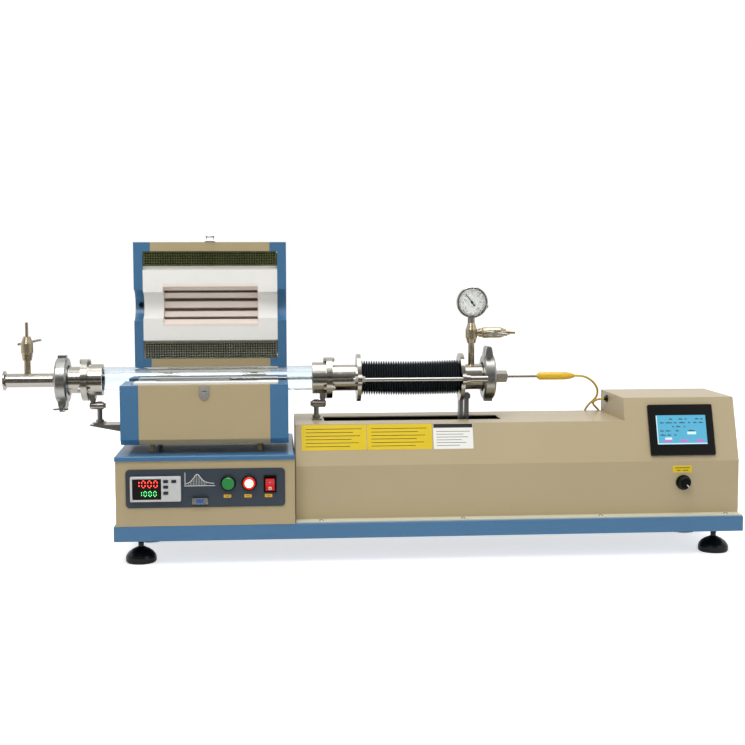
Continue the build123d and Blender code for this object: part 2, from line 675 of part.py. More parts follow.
def half_caps(chamfer_size):
    """The two hollow end caps, each with a half-round notch for the tube."""
    top = AXIS_Z - SPLIT_GAP
    pocket_floor = FURNACE_BASE + max(chamfer_size * 0.45, FURNACE_SHEET)
    for outer_x, inward in ((FURNACE_LEFT, 1), (FURNACE_RIGHT, -1)):
        start = min(outer_x, outer_x + inward * CAP_LENGTH)
        prism(section_plane(start), half_outline(chamfer_size), CAP_LENGTH)
        wall_inside = outer_x + inward * CAP_WALL
        x0, x1 = sorted((wall_inside, outer_x + inward * (CAP_LENGTH + 1)))
        y0, y1 = FURNACE_FRONT + RIM_WIDTH, FURNACE_BACK - RIM_WIDTH
        block(x0, x1, y0, y1, pocket_floor, top + 1, Mode.SUBTRACT)
        rod((start - 1, AXIS_Y, AXIS_Z), (1, 0, 0), NOTCH_RADIUS, CAP_LENGTH + 2, Mode.SUBTRACT)
        cavity_start = min(outer_x + inward * FURNACE_SHEET, wall_inside - inward * FURNACE_SHEET)
        cap_cavity(cavity_start, chamfer_size)


def groove_centre(angle, radius):
    """A point on the chamber wall, the angle counted from straight down."""
    return AXIS_Y + radius * sin(radians(angle)), AXIS_Z - radius * cos(radians(angle))


def half_insulation(depth):
    """The fibre block: a raised middle with the tube channel, the heated chamber and the coil grooves."""
    left = FURNACE_LEFT + CAP_WALL + CLEAR
    right = FURNACE_RIGHT - CAP_WALL - CLEAR
    chamber_left = FURNACE_MID - CHAMBER_LENGTH / 2
    bed_front = FURNACE_FRONT + RIM_WIDTH + SHIELD_FRONT
    bed_back = FURNACE_BACK - RIM_WIDTH - SHIELD_BACK
    top = AXIS_Z - SPLIT_GAP
    block(left, right, bed_front, bed_back, top - depth, top - FIBRE_STEP)
    block(left, right, AXIS_Y - FIBRE_WIDTH / 2, AXIS_Y + FIBRE_WIDTH / 2, top - depth, top)
    rod((left - 1, AXIS_Y, AXIS_Z), (1, 0, 0), CHANNEL_RADIUS, right - left + 2, Mode.SUBTRACT)
    rod((chamber_left, AXIS_Y, AXIS_Z), (1, 0, 0), CHAMBER_RADIUS, CHAMBER_LENGTH, Mode.SUBTRACT)
    for angle in GROOVE_ANGLES:
        y, z = groove_centre(angle, CHAMBER_RADIUS)
        rod((chamber_left, y, z), (1, 0, 0), GROOVE_RADIUS, CHAMBER_LENGTH, Mode.SUBTRACT)


def half_coils():
    """The heating coils as the round bars that their turns fill, lying in the grooves."""
    chamber_left = FURNACE_MID - CHAMBER_LENGTH / 2
    for angle in GROOVE_ANGLES:
        y, z = groove_centre(angle, CHAMBER_RADIUS + GROOVE_RADIUS - COIL_RADIUS - CLEAR)
        rod((chamber_left + CLEAR, y, z), (1, 0, 0), COIL_RADIUS, CHAMBER_LENGTH - 2 * CLEAR)


def half_shields():
    """The two long heat-shield plates between rim and insulation, with their edges turned down."""
    top = AXIS_Z - SPLIT_GAP - SHIELD_DROP
    left = FURNACE_LEFT + CAP_WALL + 1
    right = FURNACE_RIGHT - CAP_WALL - 1
    front, back = FURNACE_FRONT + RIM_WIDTH, FURNACE_BACK - RIM_WIDTH
    for near, far in ((front, front + SHIELD_FRONT), (back - SHIELD_BACK, back)):
        block(left, right, near + CLEAR, far - CLEAR, top - SHIELD_THICK, top)
        for edge in (near + CLEAR, far - CLEAR - SHIELD_THICK):
            block(left, right, edge, edge + SHIELD_THICK, top - SHIELD_EDGE, top)


def hinge_leaves(direction, outer):
    """Leaves on the back wall with their knuckles; the outer ones carry the pin."""
    half = HINGE_WIDTH / 2
    third = HINGE_WIDTH / 3
    edge = AXIS_Z + direction * (KNUCKLE_RADIUS + 1.5)
    low_z, high_z = sorted((edge, edge + direction * LEAF_HEIGHT))
    back = FURNACE_BACK + LEAF_THICK
    bore = HINGE_PIN_RADIUS + (0 if outer else RUN)
    spans = [(-half, -half + third - SEAM), (half - third + SEAM, half)] if outer else [(-half + third, half - third)]
    web_outline = [
        (FURNACE_BACK, edge),
        (FURNACE_BACK, edge + direction * WEB_HEIGHT),
        (back, edge + direction * WEB_HEIGHT),
        (HINGE_Y, AXIS_Z + direction * KNUCKLE_RADIUS * 0.95),
        (HINGE_Y, AXIS_Z),
        (HINGE_Y - KNUCKLE_RADIUS * 0.9, AXIS_Z + direction * 1.2),
    ]
    for mid in (FURNACE_LEFT + HINGE_INSET, FURNACE_RIGHT - HINGE_INSET):
        block(mid - half, mid + half, FURNACE_BACK, back, low_z, high_z)
        for low, high in spans:
            prism(section_plane(mid + low), web_outline, high - low)
            rod((mid + low, HINGE_Y, AXIS_Z), (1, 0, 0), KNUCKLE_RADIUS, high - low)
        rod((mid - half, HINGE_Y, AXIS_Z), (1, 0, 0), bore, HINGE_WIDTH, Mode.SUBTRACT)
        if outer:
            rod((mid - half - 1.5, HINGE_Y, AXIS_Z), (1, 0, 0), HINGE_PIN_RADIUS, HINGE_WIDTH + 3)


def open_lid(piece):
    """Turns a piece made as part of the lower half over the split and up to the open stop."""
    flipped = piece.mirror(Plane.XY.offset(AXIS_Z))
    return flipped.rotate(HINGE_AXIS, -LID_ANGLE)


def stand_open(piece):
    """Turns a piece made in its closed place up to the open stop."""
    return piece.rotate(HINGE_AXIS, -LID_ANGLE)


LOWER_FIBRE_DEPTH = HALF_HEIGHT - FURNACE_SHEET - LOWER_CHAMFER
LID_FIBRE_DEPTH = HALF_HEIGHT - FURNACE_SHEET - LID_FIBRE_GAP
with BuildPart() as furnace_lower_case:
    half_case(LOWER_CHAMFER)
    for x in (FURNACE_LEFT + STANDOFF_INSET_X, FURNACE_RIGHT - STANDOFF_INSET_X):
        for y in (FURNACE_FRONT + STANDOFF_INSET_Y, FURNACE_BACK - STANDOFF_INSET_Y):
            rod((x, y, PLATE_TOP), (0, 0, 1), STANDOFF_RADIUS, STANDOFF_HEIGHT)
save(furnace_lower_case.part, "furnace_lower_case")

with BuildPart() as lower_end_caps:
    half_caps(LOWER_CHAMFER)
save(lower_end_caps.part, "lower_end_caps")

with BuildPart() as lower_insulation:
    half_insulation(LOWER_FIBRE_DEPTH)
save(lower_insulation.part, "lower_insulation")

with BuildPart() as lower_heater_coils:
    half_coils()
save(lower_heater_coils.part, "lower_heater_coils")

with BuildPart() as lower_heat_shields:
    half_shields()
save(lower_heat_shields.part, "lower_heat_shields")

with BuildPart() as lid_case:
    half_case(LID_CHAMFER)
save(open_lid(lid_case.part), "lid_case")

with BuildPart() as lid_end_caps:
    half_caps(LID_CHAMFER)
save(open_lid(lid_end_caps.part), "lid_end_caps")

with BuildPart() as lid_insulation:
    half_insulation(LID_FIBRE_DEPTH)
save(open_lid(lid_insulation.part), "lid_insulation")

with BuildPart() as lid_heater_coils:
    half_coils()
save(open_lid(lid_heater_coils.part), "lid_heater_coils")

with BuildPart() as lid_heat_shields:
    half_shields()
save(open_lid(lid_heat_shields.part), "lid_heat_shields")


# ---------------------------------------------------------------- draw latch
LATCH_WIDTH = 22.0
LATCH_SHEET = 2.0
LEVER_PIN_Y = FURNACE_FRONT - 8.0
LEVER_PIN_Z = AXIS_Z + 11.0
BAIL_PIN_Y = LEVER_PIN_Y - 3.5
BAIL_PIN_Z = LEVER_PIN_Z + 7.0
PIN_RADIUS = 1.6
WIRE_RADIUS = 1.2
HOOK_REACH = 8.0
HOOK_HALF = 4.0
HOOK_DROP = 8.0
KEEPER_WIDTH = 20.0
KEEPER_DROP = 29.0
EAR_THICK = 1.6
LEVER_LENGTH = 30.0
SWING_GAP = 9.5
LATCH_HALF = LATCH_WIDTH / 2

with BuildPart() as base_fixings:
    half = KEEPER_WIDTH / 2
    shield = [
        (LATCH_X - half, AXIS_Z - 2),
        (LATCH_X - half, AXIS_Z - 22),
        (LATCH_X - half / 2, AXIS_Z - KEEPER_DROP),
        (LATCH_X + half / 2, AXIS_Z - KEEPER_DROP),
        (LATCH_X + half, AXIS_Z - 22),
        (LATCH_X + half, AXIS_Z - 2),
    ]
    prism(side_plane(FURNACE_FRONT), shield, LATCH_SHEET)
    hook_top = AXIS_Z - 12.0
    hook_throat = hook_top - 3.5
    lip_back = FURNACE_FRONT - HOOK_REACH + 1.5
    hook = [
        (FURNACE_FRONT - LATCH_SHEET, hook_top),
        (FURNACE_FRONT - HOOK_REACH, hook_top),
        (FURNACE_FRONT - HOOK_REACH, hook_top - HOOK_DROP),
        (lip_back, hook_top - HOOK_DROP),
        (lip_back, hook_throat),
        (FURNACE_FRONT - LATCH_SHEET, hook_throat),
    ]
    prism(section_plane(LATCH_X - HOOK_HALF), hook, 2 * HOOK_HALF)
    hinge_leaves(-1, True)
save(base_fixings.part, "base_fixings")

with BuildPart() as lid_fixings:
    base_back = FURNACE_FRONT - LATCH_SHEET
    block(LATCH_X - LATCH_HALF, LATCH_X + LATCH_HALF, base_back, FURNACE_FRONT, AXIS_Z + 3, AXIS_Z + 40)
    for x in (LATCH_X - LATCH_HALF, LATCH_X + LATCH_HALF - EAR_THICK):
        ear = [
            (base_back, LEVER_PIN_Z - 7),
            (LEVER_PIN_Y - 3, LEVER_PIN_Z - 3.5),
            (LEVER_PIN_Y - 3, LEVER_PIN_Z + 3.5),
            (base_back, LEVER_PIN_Z + 9),
        ]
        prism(section_plane(x), ear, EAR_THICK)
    pin_start = (LATCH_X - LATCH_HALF - 1, LEVER_PIN_Y, LEVER_PIN_Z)
    rod(pin_start, (1, 0, 0), PIN_RADIUS + RUN, LATCH_WIDTH + 2, Mode.SUBTRACT)
    hinge_leaves(1, False)
save(stand_open(lid_fixings.part), "lid_fixings")

LEVER_HALF = LATCH_HALF - EAR_THICK - SEAM
LEVER_TOP = LEVER_PIN_Z + LEVER_LENGTH
with BuildPart() as latch_lever:
    cheek = [
        (LEVER_PIN_Y + 2.6, LEVER_PIN_Z - 2.6),
        (LEVER_PIN_Y - 5.2, LEVER_PIN_Z - 2.2),
        (LEVER_PIN_Y - 6.6, LEVER_TOP),
        (LEVER_PIN_Y - 4.6, LEVER_TOP),
        (LEVER_PIN_Y + 0.5, LEVER_PIN_Z + 14),
        (LEVER_PIN_Y + 2.6, LEVER_PIN_Z + 6),
    ]
    for x in (LATCH_X - LEVER_HALF, LATCH_X + LEVER_HALF - EAR_THICK):
        prism(section_plane(x), cheek, EAR_THICK)
    back_strip = [
        (LEVER_PIN_Y - 4.6, BAIL_PIN_Z + SWING_GAP),
        (LEVER_PIN_Y - 6.1, BAIL_PIN_Z + SWING_GAP),
        (LEVER_PIN_Y - 6.6, LEVER_TOP),
        (LEVER_PIN_Y - 10.5, LEVER_TOP + 3),
        (LEVER_PIN_Y - 9.2, LEVER_TOP + 4.5),
        (LEVER_PIN_Y - 5.0, LEVER_TOP + 1.2),
    ]
    prism(section_plane(LATCH_X - LEVER_HALF), back_strip, 2 * LEVER_HALF)
    for side in (-1, 1):
        pin_start = (LATCH_X + side * (LEVER_HALF - 1), LEVER_PIN_Y, LEVER_PIN_Z)
        rod(pin_start, (side, 0, 0), PIN_RADIUS, LATCH_HALF + 1.5 - LEVER_HALF)
    wire_start = (LATCH_X - LEVER_HALF - 1, BAIL_PIN_Y + 1, BAIL_PIN_Z)
    rod(wire_start, (1, 0, 0), WIRE_RADIUS + RUN, 2 * LEVER_HALF + 2, Mode.SUBTRACT)
save(stand_open(latch_lever.part), "latch_lever")

BAIL_HALF = LEVER_HALF - EAR_THICK - SEAM - WIRE_RADIUS
BAIL_DROP = 35.4
with BuildPart() as latch_bail:
    wire_y = BAIL_PIN_Y + 1
    drop_z = BAIL_PIN_Z - BAIL_DROP
    with BuildLine() as bail_path:
        FilletPolyline(
            (LATCH_X - LEVER_HALF, wire_y, BAIL_PIN_Z),
            (LATCH_X - BAIL_HALF, wire_y, BAIL_PIN_Z),
            (LATCH_X - BAIL_HALF, wire_y, drop_z),
            (LATCH_X + BAIL_HALF, wire_y, drop_z),
            (LATCH_X + BAIL_HALF, wire_y, BAIL_PIN_Z),
            (LATCH_X + LEVER_HALF, wire_y, BAIL_PIN_Z),
            radius=[1.4, 2.5, 2.5, 1.4],
        )
    with BuildSketch(Plane(origin=bail_path.line @ 0, z_dir=bail_path.line % 0)):
        Circle(WIRE_RADIUS)
    sweep(path=bail_path.line)
save(stand_open(latch_bail.part), "latch_bail")


# ---------------------------------------------------------------- tube and its fixed fittings
def kf_flange(face, inward, radius, neck):
    """A clamped flange rim tapering to its neck; inward points away from the sealing face."""
    return [
        (face, radius),
        (face + inward * KF_RIM, radius),
        (face + inward * (KF_RIM + KF_TAPER), neck),
    ]


def clamp_ring(face):
    """A hinged clamp drawn as its closed ring, grooved to draw two tapered rims together."""
    half = CLAMP_WIDTH / 2
    lip = BODY_RADIUS + CLAMP_LIP_GAP
    groove = KF_RIM + 0.5
    outline = [
        (face - half, lip),
        (face - groove - KF_TAPER * 0.8, lip),
        (face - groove, KF50_RADIUS + 0.4),
        (face + groove, KF50_RADIUS + 0.4),
        (face + groove + KF_TAPER * 0.8, lip),
        (face + half, lip),
        (face + half, CLAMP_RADIUS - CLAMP_EDGE),
        (face + half - CLAMP_EDGE, CLAMP_RADIUS),
        (face - half + CLAMP_EDGE, CLAMP_RADIUS),
        (face - half, CLAMP_RADIUS - CLAMP_EDGE),
    ]
    lathe(outline)


CLAMP_LIP_GAP = 3.5
CLAMP_EDGE = 3.0
LUG_GAP = 5.0
LUG_REACH = 22.0
LUG_HEIGHT = 16.0
LUG_ROOT = 6.0
LUG_INSET = 3.0
CLAMP_BOLT_RADIUS = 3.0
BOLT_LIFT = CLAMP_RADIUS + 9.0


def clamp_lugs(face, up):
    """The tapered bolt lugs on one side of the clamp and the hinge lug on the other; up is +1 or -1."""
    base = CLAMP_WIDTH / 2 - LUG_INSET
    tip = base - 2.5
    inner, outer = AXIS_Z + up * (CLAMP_RADIUS - LUG_ROOT), AXIS_Z + up * (CLAMP_RADIUS + LUG_HEIGHT)
    shoulder = outer - up * 5.0
    lug_outline = [
        (face - base, inner),
        (face + base, inner),
        (face + tip, shoulder),
        (face + tip - 2, outer),
        (face - tip + 2, outer),
        (face - tip, shoulder),
    ]
    for y in (AXIS_Y - LUG_GAP / 2, AXIS_Y + LUG_REACH):
        prism(side_plane(y), lug_outline, LUG_REACH - LUG_GAP / 2)
    low, high = sorted((AXIS_Z - up * (CLAMP_RADIUS - LUG_ROOT), AXIS_Z - up * (CLAMP_RADIUS + 4)))
    block(face - base, face + base, AXIS_Y - 9, AXIS_Y + 9, low, high)


def clamp_bolt(face, up, front_reach):
    """The bolt through the lugs, standing out in front of them, with its head at the back."""
    z = AXIS_Z + up * BOLT_LIFT
    rod((face, AXIS_Y - LUG_REACH - 1, z), (0, 1, 0), CLAMP_BOLT_RADIUS + CLEAR, 2 * LUG_REACH + 2, Mode.SUBTRACT)
    start = AXIS_Y - LUG_REACH - front_reach
    rod((face, start, z), (0, 1, 0), CLAMP_BOLT_RADIUS, front_reach + 2 * LUG_REACH + 3)
    hexagon((face, AXIS_Y + LUG_REACH, z), (0, 1, 0), 10, 5)


with BuildPart() as quartz_tube:
    tube_left = LEFT_RING + 2 - RING_THICK
    tube_right = RIGHT_SLEEVE + SLEEVE_LENGTH + RING_THICK - 2
    ring(tube_left, tube_right, TUBE_RADIUS, TUBE_RADIUS - TUBE_WALL)
save(quartz_tube.part, "quartz_tube")


def bolt_places():
    """Where the ring bolts stand, in (Y, Z)."""
    angles = [radians(angle) for angle in (90, 210, 330)]
    return [(AXIS_Y + BOLT_CIRCLE * cos(angle), AXIS_Z + BOLT_CIRCLE * sin(angle)) for angle in angles]


def ring_bolts(joint):
    """Three cap screws with nuts that draw the two rings together."""
    reach = RING_THICK + BOLT_HEAD_HEIGHT
    for y, z in bolt_places():
        hexagon((joint - reach, y, z), (1, 0, 0), BOLT_HEAD, BOLT_HEAD_HEIGHT)
        rod((joint - reach, y, z), (1, 0, 0), BOLT_RADIUS, 2 * reach)
        hexagon((joint + RING_THICK, y, z), (1, 0, 0), BOLT_HEAD - 0.4, NUT_HEIGHT)


def ring_holes(start):
    """The bolt holes through one ring."""
    for y, z in bolt_places():
        rod((start - 1, y, z), (1, 0, 0), BOLT_RADIUS + CLEAR, RING_THICK + 2, Mode.SUBTRACT)


def end_sleeve(ring_start, sleeve_start):
    """The sleeve over the tube's end with its bolting ring."""
    low = min(ring_start, sleeve_start)
    inner = TUBE_RADIUS + CLEAR
    ring(low, low + RING_THICK + SLEEVE_LENGTH, SLEEVE_RADIUS, inner)
    ring(ring_start, ring_start + RING_THICK, RING_RADIUS, inner)
    ring_holes(ring_start)


with BuildPart() as tube_end_sleeves:
    end_sleeve(LEFT_JOINT, LEFT_RING)
    end_sleeve(RIGHT_JOINT - RING_THICK, RIGHT_SLEEVE)
save(tube_end_sleeves.part, "tube_end_sleeves")

with BuildPart() as flange_bolts:
    ring_bolts(LEFT_JOINT)
    ring_bolts(RIGHT_JOINT)
save(flange_bolts.part, "flange_bolts")

with BuildPart() as left_flange_body:
    outline = [
        (LEFT_JOINT, LINE_BORE),
        (LEFT_JOINT, RING_RADIUS),
        (LEFT_JOINT - RING_THICK, RING_RADIUS),
        (LEFT_JOINT - RING_THICK, BODY_RADIUS),
    ]
    outline += list(reversed(kf_flange(LEFT_KF, 1, KF50_RADIUS, BODY_RADIUS)))
    outline += [(LEFT_KF, LINE_BORE)]
    lathe(outline)
    ring_holes(LEFT_JOINT - RING_THICK)
save(left_flange_body.part, "left_flange_body")

LEFT_BOLT_REACH = 15.0
with BuildPart() as left_clamp:
    clamp_ring(LEFT_KF)
    clamp_lugs(LEFT_KF, -1)
    clamp_bolt(LEFT_KF, -1, LEFT_BOLT_REACH)
save(left_clamp.part, "left_clamp")

WING_HUB = 6.5
WING_HEIGHT = 9.0
with BuildPart() as clamp_wing_nut:
    nut_y = AXIS_Y - LUG_REACH - SEAM
    nut_plane = Plane(origin=(LEFT_KF, nut_y, AXIS_Z - BOLT_LIFT), z_dir=(0, -1, 0))
    with BuildSketch(nut_plane):
        Circle(WING_HUB)
    extrude(amount=WING_HEIGHT, taper=12)
    wing = [(-13, 6), (-15, 14), (-10, 16), (-4, 7), (4, 7), (10, 16), (15, 14), (13, 6), (5, 3), (-5, 3)]
    wing_plane = Plane(origin=(LEFT_KF, nut_y, AXIS_Z - BOLT_LIFT - 1.5), x_dir=(1, 0, 0), z_dir=(0, 0, 1))
    prism(wing_plane, [(x, -y) for x, y in wing], 3)
    thread_start = (LEFT_KF, nut_y + 1, AXIS_Z - BOLT_LIFT)
    rod(thread_start, (0, -1, 0), CLAMP_BOLT_RADIUS + RUN, LEFT_BOLT_REACH + 5, Mode.SUBTRACT)
save(clamp_wing_nut.part, "clamp_wing_nut")

with BuildPart() as vacuum_nipple:
    outline = [(LINE_END, NIPPLE_BORE)]
    outline += kf_flange(LINE_END, 1, KF25_RADIUS, NIPPLE_RADIUS)
    cone_end = LEFT_KF - KF_RIM - KF_TAPER - 1
    outline += [(cone_end - NIPPLE_CONE + 1, NIPPLE_RADIUS), (cone_end, BODY_RADIUS)]
    outline += list(reversed(kf_flange(LEFT_KF, -1, KF50_RADIUS, BODY_RADIUS)))
    outline += [(LEFT_KF, LINE_BORE), (LEFT_KF - 6, LINE_BORE), (LEFT_KF - 18, NIPPLE_BORE)]
    lathe(outline)
    rod((LEFT_RISER_X, AXIS_Y, AXIS_Z), (0, 0, 1), PORT_BORE, NIPPLE_RADIUS + 4, Mode.SUBTRACT)
save(vacuum_nipple.part, "vacuum_nipple")


def riser_end(x, main_radius, top):
    """A riser pipe seated on the outside of a horizontal pipe."""
    rod((x, AXIS_Y, AXIS_Z), (0, 0, 1), RISER_RADIUS, top - AXIS_Z)
    rod((x, AXIS_Y, AXIS_Z), (0, 0, 1), RISER_RADIUS - RISER_WALL, top - AXIS_Z, Mode.SUBTRACT)
    rod((x - 2 * RISER_RADIUS, AXIS_Y, AXIS_Z), (1, 0, 0), main_radius, 4 * RISER_RADIUS, Mode.SUBTRACT)


VALVE_LENGTH = 48.0
BONNET_LENGTH = 20.0
BONNET_RADIUS = 6.0
SPINDLE_RADIUS = 3.0
SPINDLE_START = 8.0
LEFT_VALVE_LOW = AXIS_Z + 40.0
LEFT_VALVE_HIGH = LEFT_VALVE_LOW + VALVE_LENGTH
LEFT_BONNET_Z = LEFT_VALVE_LOW + 35.0
LEFT_OUTLET_TOP = LEFT_VALVE_HIGH + 28.0
with BuildPart() as left_needle_valve:
    riser_end(LEFT_RISER_X, NIPPLE_RADIUS, LEFT_VALVE_LOW)
    valve_plane = Plane(origin=(LEFT_RISER_X, AXIS_Y, 0), x_dir=(0, 0, 1), z_dir=(0, -1, 0))
    valve_outline = [
        (LEFT_VALVE_LOW, 0),
        (LEFT_VALVE_LOW, -9),
        (LEFT_VALVE_LOW + 12, -VALVE_RADIUS + 1),
        (LEFT_VALVE_LOW + 16, -VALVE_RADIUS),
        (LEFT_VALVE_LOW + 34, -VALVE_RADIUS),
        (LEFT_VALVE_HIGH, -7),
        (LEFT_VALVE_HIGH, -OUTLET_RADIUS),
        (LEFT_OUTLET_TOP, -OUTLET_RADIUS),
        (LEFT_OUTLET_TOP, 0),
    ]
    lathe(valve_outline, valve_plane, Axis((LEFT_RISER_X, AXIS_Y, 0), (0, 0, 1)))
    rod((LEFT_RISER_X, AXIS_Y, LEFT_BONNET_Z), (0, 1, 0), BONNET_RADIUS, BONNET_LENGTH)
    spindle = (LEFT_RISER_X, AXIS_Y + SPINDLE_START, LEFT_BONNET_Z)
    rod(spindle, (0, 1, 0), SPINDLE_RADIUS + RUN, BONNET_LENGTH, Mode.SUBTRACT)
save(left_needle_valve.part, "left_needle_valve")


def valve_handle(x, z, outward, tilt):
    """A spindle with a cross bar; outward is the Y direction that it points in."""
    spindle = (x, AXIS_Y + outward * (SPINDLE_START + 1), z)
    rod(spindle, (0, outward, 0), SPINDLE_RADIUS, BONNET_LENGTH + 5)
    dx, dz = cos(radians(tilt)), sin(radians(tilt))
    bar_y = AXIS_Y + outward * (BONNET_LENGTH + 7)
    half = VALVE_BAR / 2
    rod((x - half * dx, bar_y, z - half * dz), (dx, 0, dz), BAR_RADIUS, VALVE_BAR)
    rod((x, bar_y - outward * 4, z), (0, outward, 0), SPINDLE_RADIUS + 2, 8)


with BuildPart() as left_valve_handle:
    valve_handle(LEFT_RISER_X, LEFT_BONNET_Z, 1, 11.0)
save(left_valve_handle.part, "left_valve_handle")

SHELF_Z = AXIS_Z - 88.0
SHELF_LENGTH = 73.0
SHELF_HALF = 26.0
SHELF_SHEET = 2.0
GUSSET_DROP = 14.0
SADDLE_DROP = 6.0
HANGER_LENGTH = 20.0
HANGER_RADIUS = 5.0
POST_RADIUS = 5.0
POST_RISE = 8.5
POST_OFFSET = 13.0
JOINT_RADIUS = 7.5
FOOT_PLATE_HALF = 10.0


def tube_support(x, side, floor):
    """A stub under the sleeve, a cross joint beside it and a post on a foot plate; side is +1 or -1."""
    sleeve_low = AXIS_Z - SLEEVE_RADIUS
    joint_z = sleeve_low - HANGER_LENGTH
    post_x = x + side * POST_OFFSET
    block(x - 6, x + 6, AXIS_Y - 12, AXIS_Y + 12, sleeve_low - SADDLE_DROP, sleeve_low + 3)
    rod((x - 7, AXIS_Y, AXIS_Z), (1, 0, 0), SLEEVE_RADIUS + CLEAR, 14, Mode.SUBTRACT)
    rod((x, AXIS_Y, joint_z - 4), (0, 0, 1), HANGER_RADIUS, HANGER_LENGTH - 1)
    hexagon((x, AXIS_Y, sleeve_low - SADDLE_DROP - 4), (0, 0, 1), 11, 4)
    body_left, body_right = sorted((x - side * 5, post_x + side * 8))
    rod((body_left, AXIS_Y, joint_z), (1, 0, 0), JOINT_RADIUS, body_right - body_left)
    nut_left, nut_right = sorted((x - side * 6.5, post_x + side * 12))
    hexagon((nut_left, AXIS_Y, joint_z), (1, 0, 0), 9, nut_right - nut_left)
    rod((post_x, AXIS_Y, floor), (0, 0, 1), POST_RADIUS, joint_z + POST_RISE - floor)
    hexagon((post_x, AXIS_Y, floor + 3), (0, 0, 1), 14, 5)
    half = FOOT_PLATE_HALF
    block(post_x - half, post_x + half, AXIS_Y - 2 * half, AXIS_Y + 2 * half, floor, floor + 3)


with BuildPart() as tube_supports:
    shelf_left = FURNACE_LEFT - SHELF_LENGTH
    shelf_low = SHELF_Z - SHELF_SHEET
    block(shelf_left, FURNACE_LEFT, AXIS_Y - SHELF_HALF, AXIS_Y + SHELF_HALF, shelf_low, SHELF_Z)
    gusset = [
        (shelf_left + 2, shelf_low),
        (FURNACE_LEFT, shelf_low),
        (FURNACE_LEFT, shelf_low - GUSSET_DROP),
    ]
    for y in (AXIS_Y - SHELF_HALF + SHELF_SHEET, AXIS_Y + SHELF_HALF):
        prism(side_plane(y), gusset, SHELF_SHEET)
    tube_support(LEFT_RING + 7, 1, SHELF_Z)
    tube_support(RIGHT_SLEEVE + SLEEVE_LENGTH - 7, -1, LOW_Z)
save(tube_supports.part, "tube_supports")


def eared_plate(x, bore, ear_hole):
    """A round plate with an ear front and back for the guide rods."""
    with BuildSketch(Plane(origin=(x, AXIS_Y, AXIS_Z), x_dir=(0, 1, 0), z_dir=(1, 0, 0))) as section:
        Circle(PLATE_RADIUS)
        SlotCenterToCenter(2 * EAR_OFFSET, 2 * EAR_RADIUS)
        Circle(bore, mode=Mode.SUBTRACT)
        with Locations((-EAR_OFFSET, 0), (EAR_OFFSET, 0)):
            Circle(ear_hole, mode=Mode.SUBTRACT)
    extrude(section.sketch, amount=PLATE_THICK)


with BuildPart() as fixed_spool:
    ring(RIGHT_JOINT, RIGHT_JOINT + RING_THICK, RING_RADIUS, LINE_BORE)
    ring_holes(RIGHT_JOINT)
    ring(RIGHT_JOINT, FIXED_PLATE, SPOOL_RADIUS, LINE_BORE)
    eared_plate(FIXED_PLATE, LINE_BORE, ROD_RADIUS + CLEAR)
save(fixed_spool.part, "fixed_spool")

with BuildPart() as bellows:
    left = FIXED_PLATE + PLATE_THICK + SEAM
    pitch = BELLOWS_LENGTH / BELLOWS_PLEATS
    outline = [(left, BODY_RADIUS)]
    for pleat in range(BELLOWS_PLEATS):
        start = left + pleat * pitch
        outline += [(start, BELLOWS_ROOT), (start + pitch / 2, BELLOWS_RADIUS)]
    outline += [(left + BELLOWS_LENGTH, BELLOWS_ROOT), (left + BELLOWS_LENGTH, BODY_RADIUS)]
    lathe(outline)
save(bellows.part, "bellows")

ROD_NUT_ACROSS = 13.0
ROD_NUT_HEIGHT = 6.0
ROD_RIGHT = CARRIAGE_FACE + BUSH_LENGTH - 4
with BuildPart() as guide_rods:
    for side in (-1, 1):
        y = AXIS_Y + side * EAR_OFFSET
        rod_left = FIXED_PLATE - ROD_NUT_HEIGHT - 3
        rod((rod_left, y, AXIS_Z), (1, 0, 0), ROD_RADIUS, ROD_RIGHT - rod_left)
        for nut_x in (FIXED_PLATE - ROD_NUT_HEIGHT, FIXED_PLATE + PLATE_THICK):
            hexagon((nut_x, y, AXIS_Z), (1, 0, 0), ROD_NUT_ACROSS, ROD_NUT_HEIGHT)
save(guide_rods.part, "guide_rods")


# ---------------------------------------------------------------- carriage
with BuildPart() as carriage_spool:
    eared_plate(MOVING_PLATE, LINE_BORE, BUSH_RADIUS - 1.5)
    for side in (-1, 1):
        y = AXIS_Y + side * EAR_OFFSET
        rod((MOVING_PLATE, y, AXIS_Z), (1, 0, 0), BUSH_RADIUS, PLATE_THICK + BUSH_LENGTH)
        rod((CARRIAGE_FACE, y, AXIS_Z), (1, 0, 0), BUSH_RADIUS + 2, 8)
        bore_start = (MOVING_PLATE - 1, y, AXIS_Z)
        rod(bore_start, (1, 0, 0), ROD_RADIUS + RUN, PLATE_THICK + BUSH_LENGTH + 2, Mode.SUBTRACT)
    outline = [(CARRIAGE_FACE, LINE_BORE), (CARRIAGE_FACE, SPOOL_RADIUS)]
    outline += list(reversed(kf_flange(CARRIAGE_KF, -1, KF50_RADIUS, SPOOL_RADIUS)))
    outline += [(CARRIAGE_KF, LINE_BORE)]
    lathe(outline)
    rod((RISER_X, AXIS_Y, AXIS_Z), (0, 0, 1), PORT_BORE, SPOOL_RADIUS + 4, Mode.SUBTRACT)
save(carriage_spool.part, "carriage_spool")

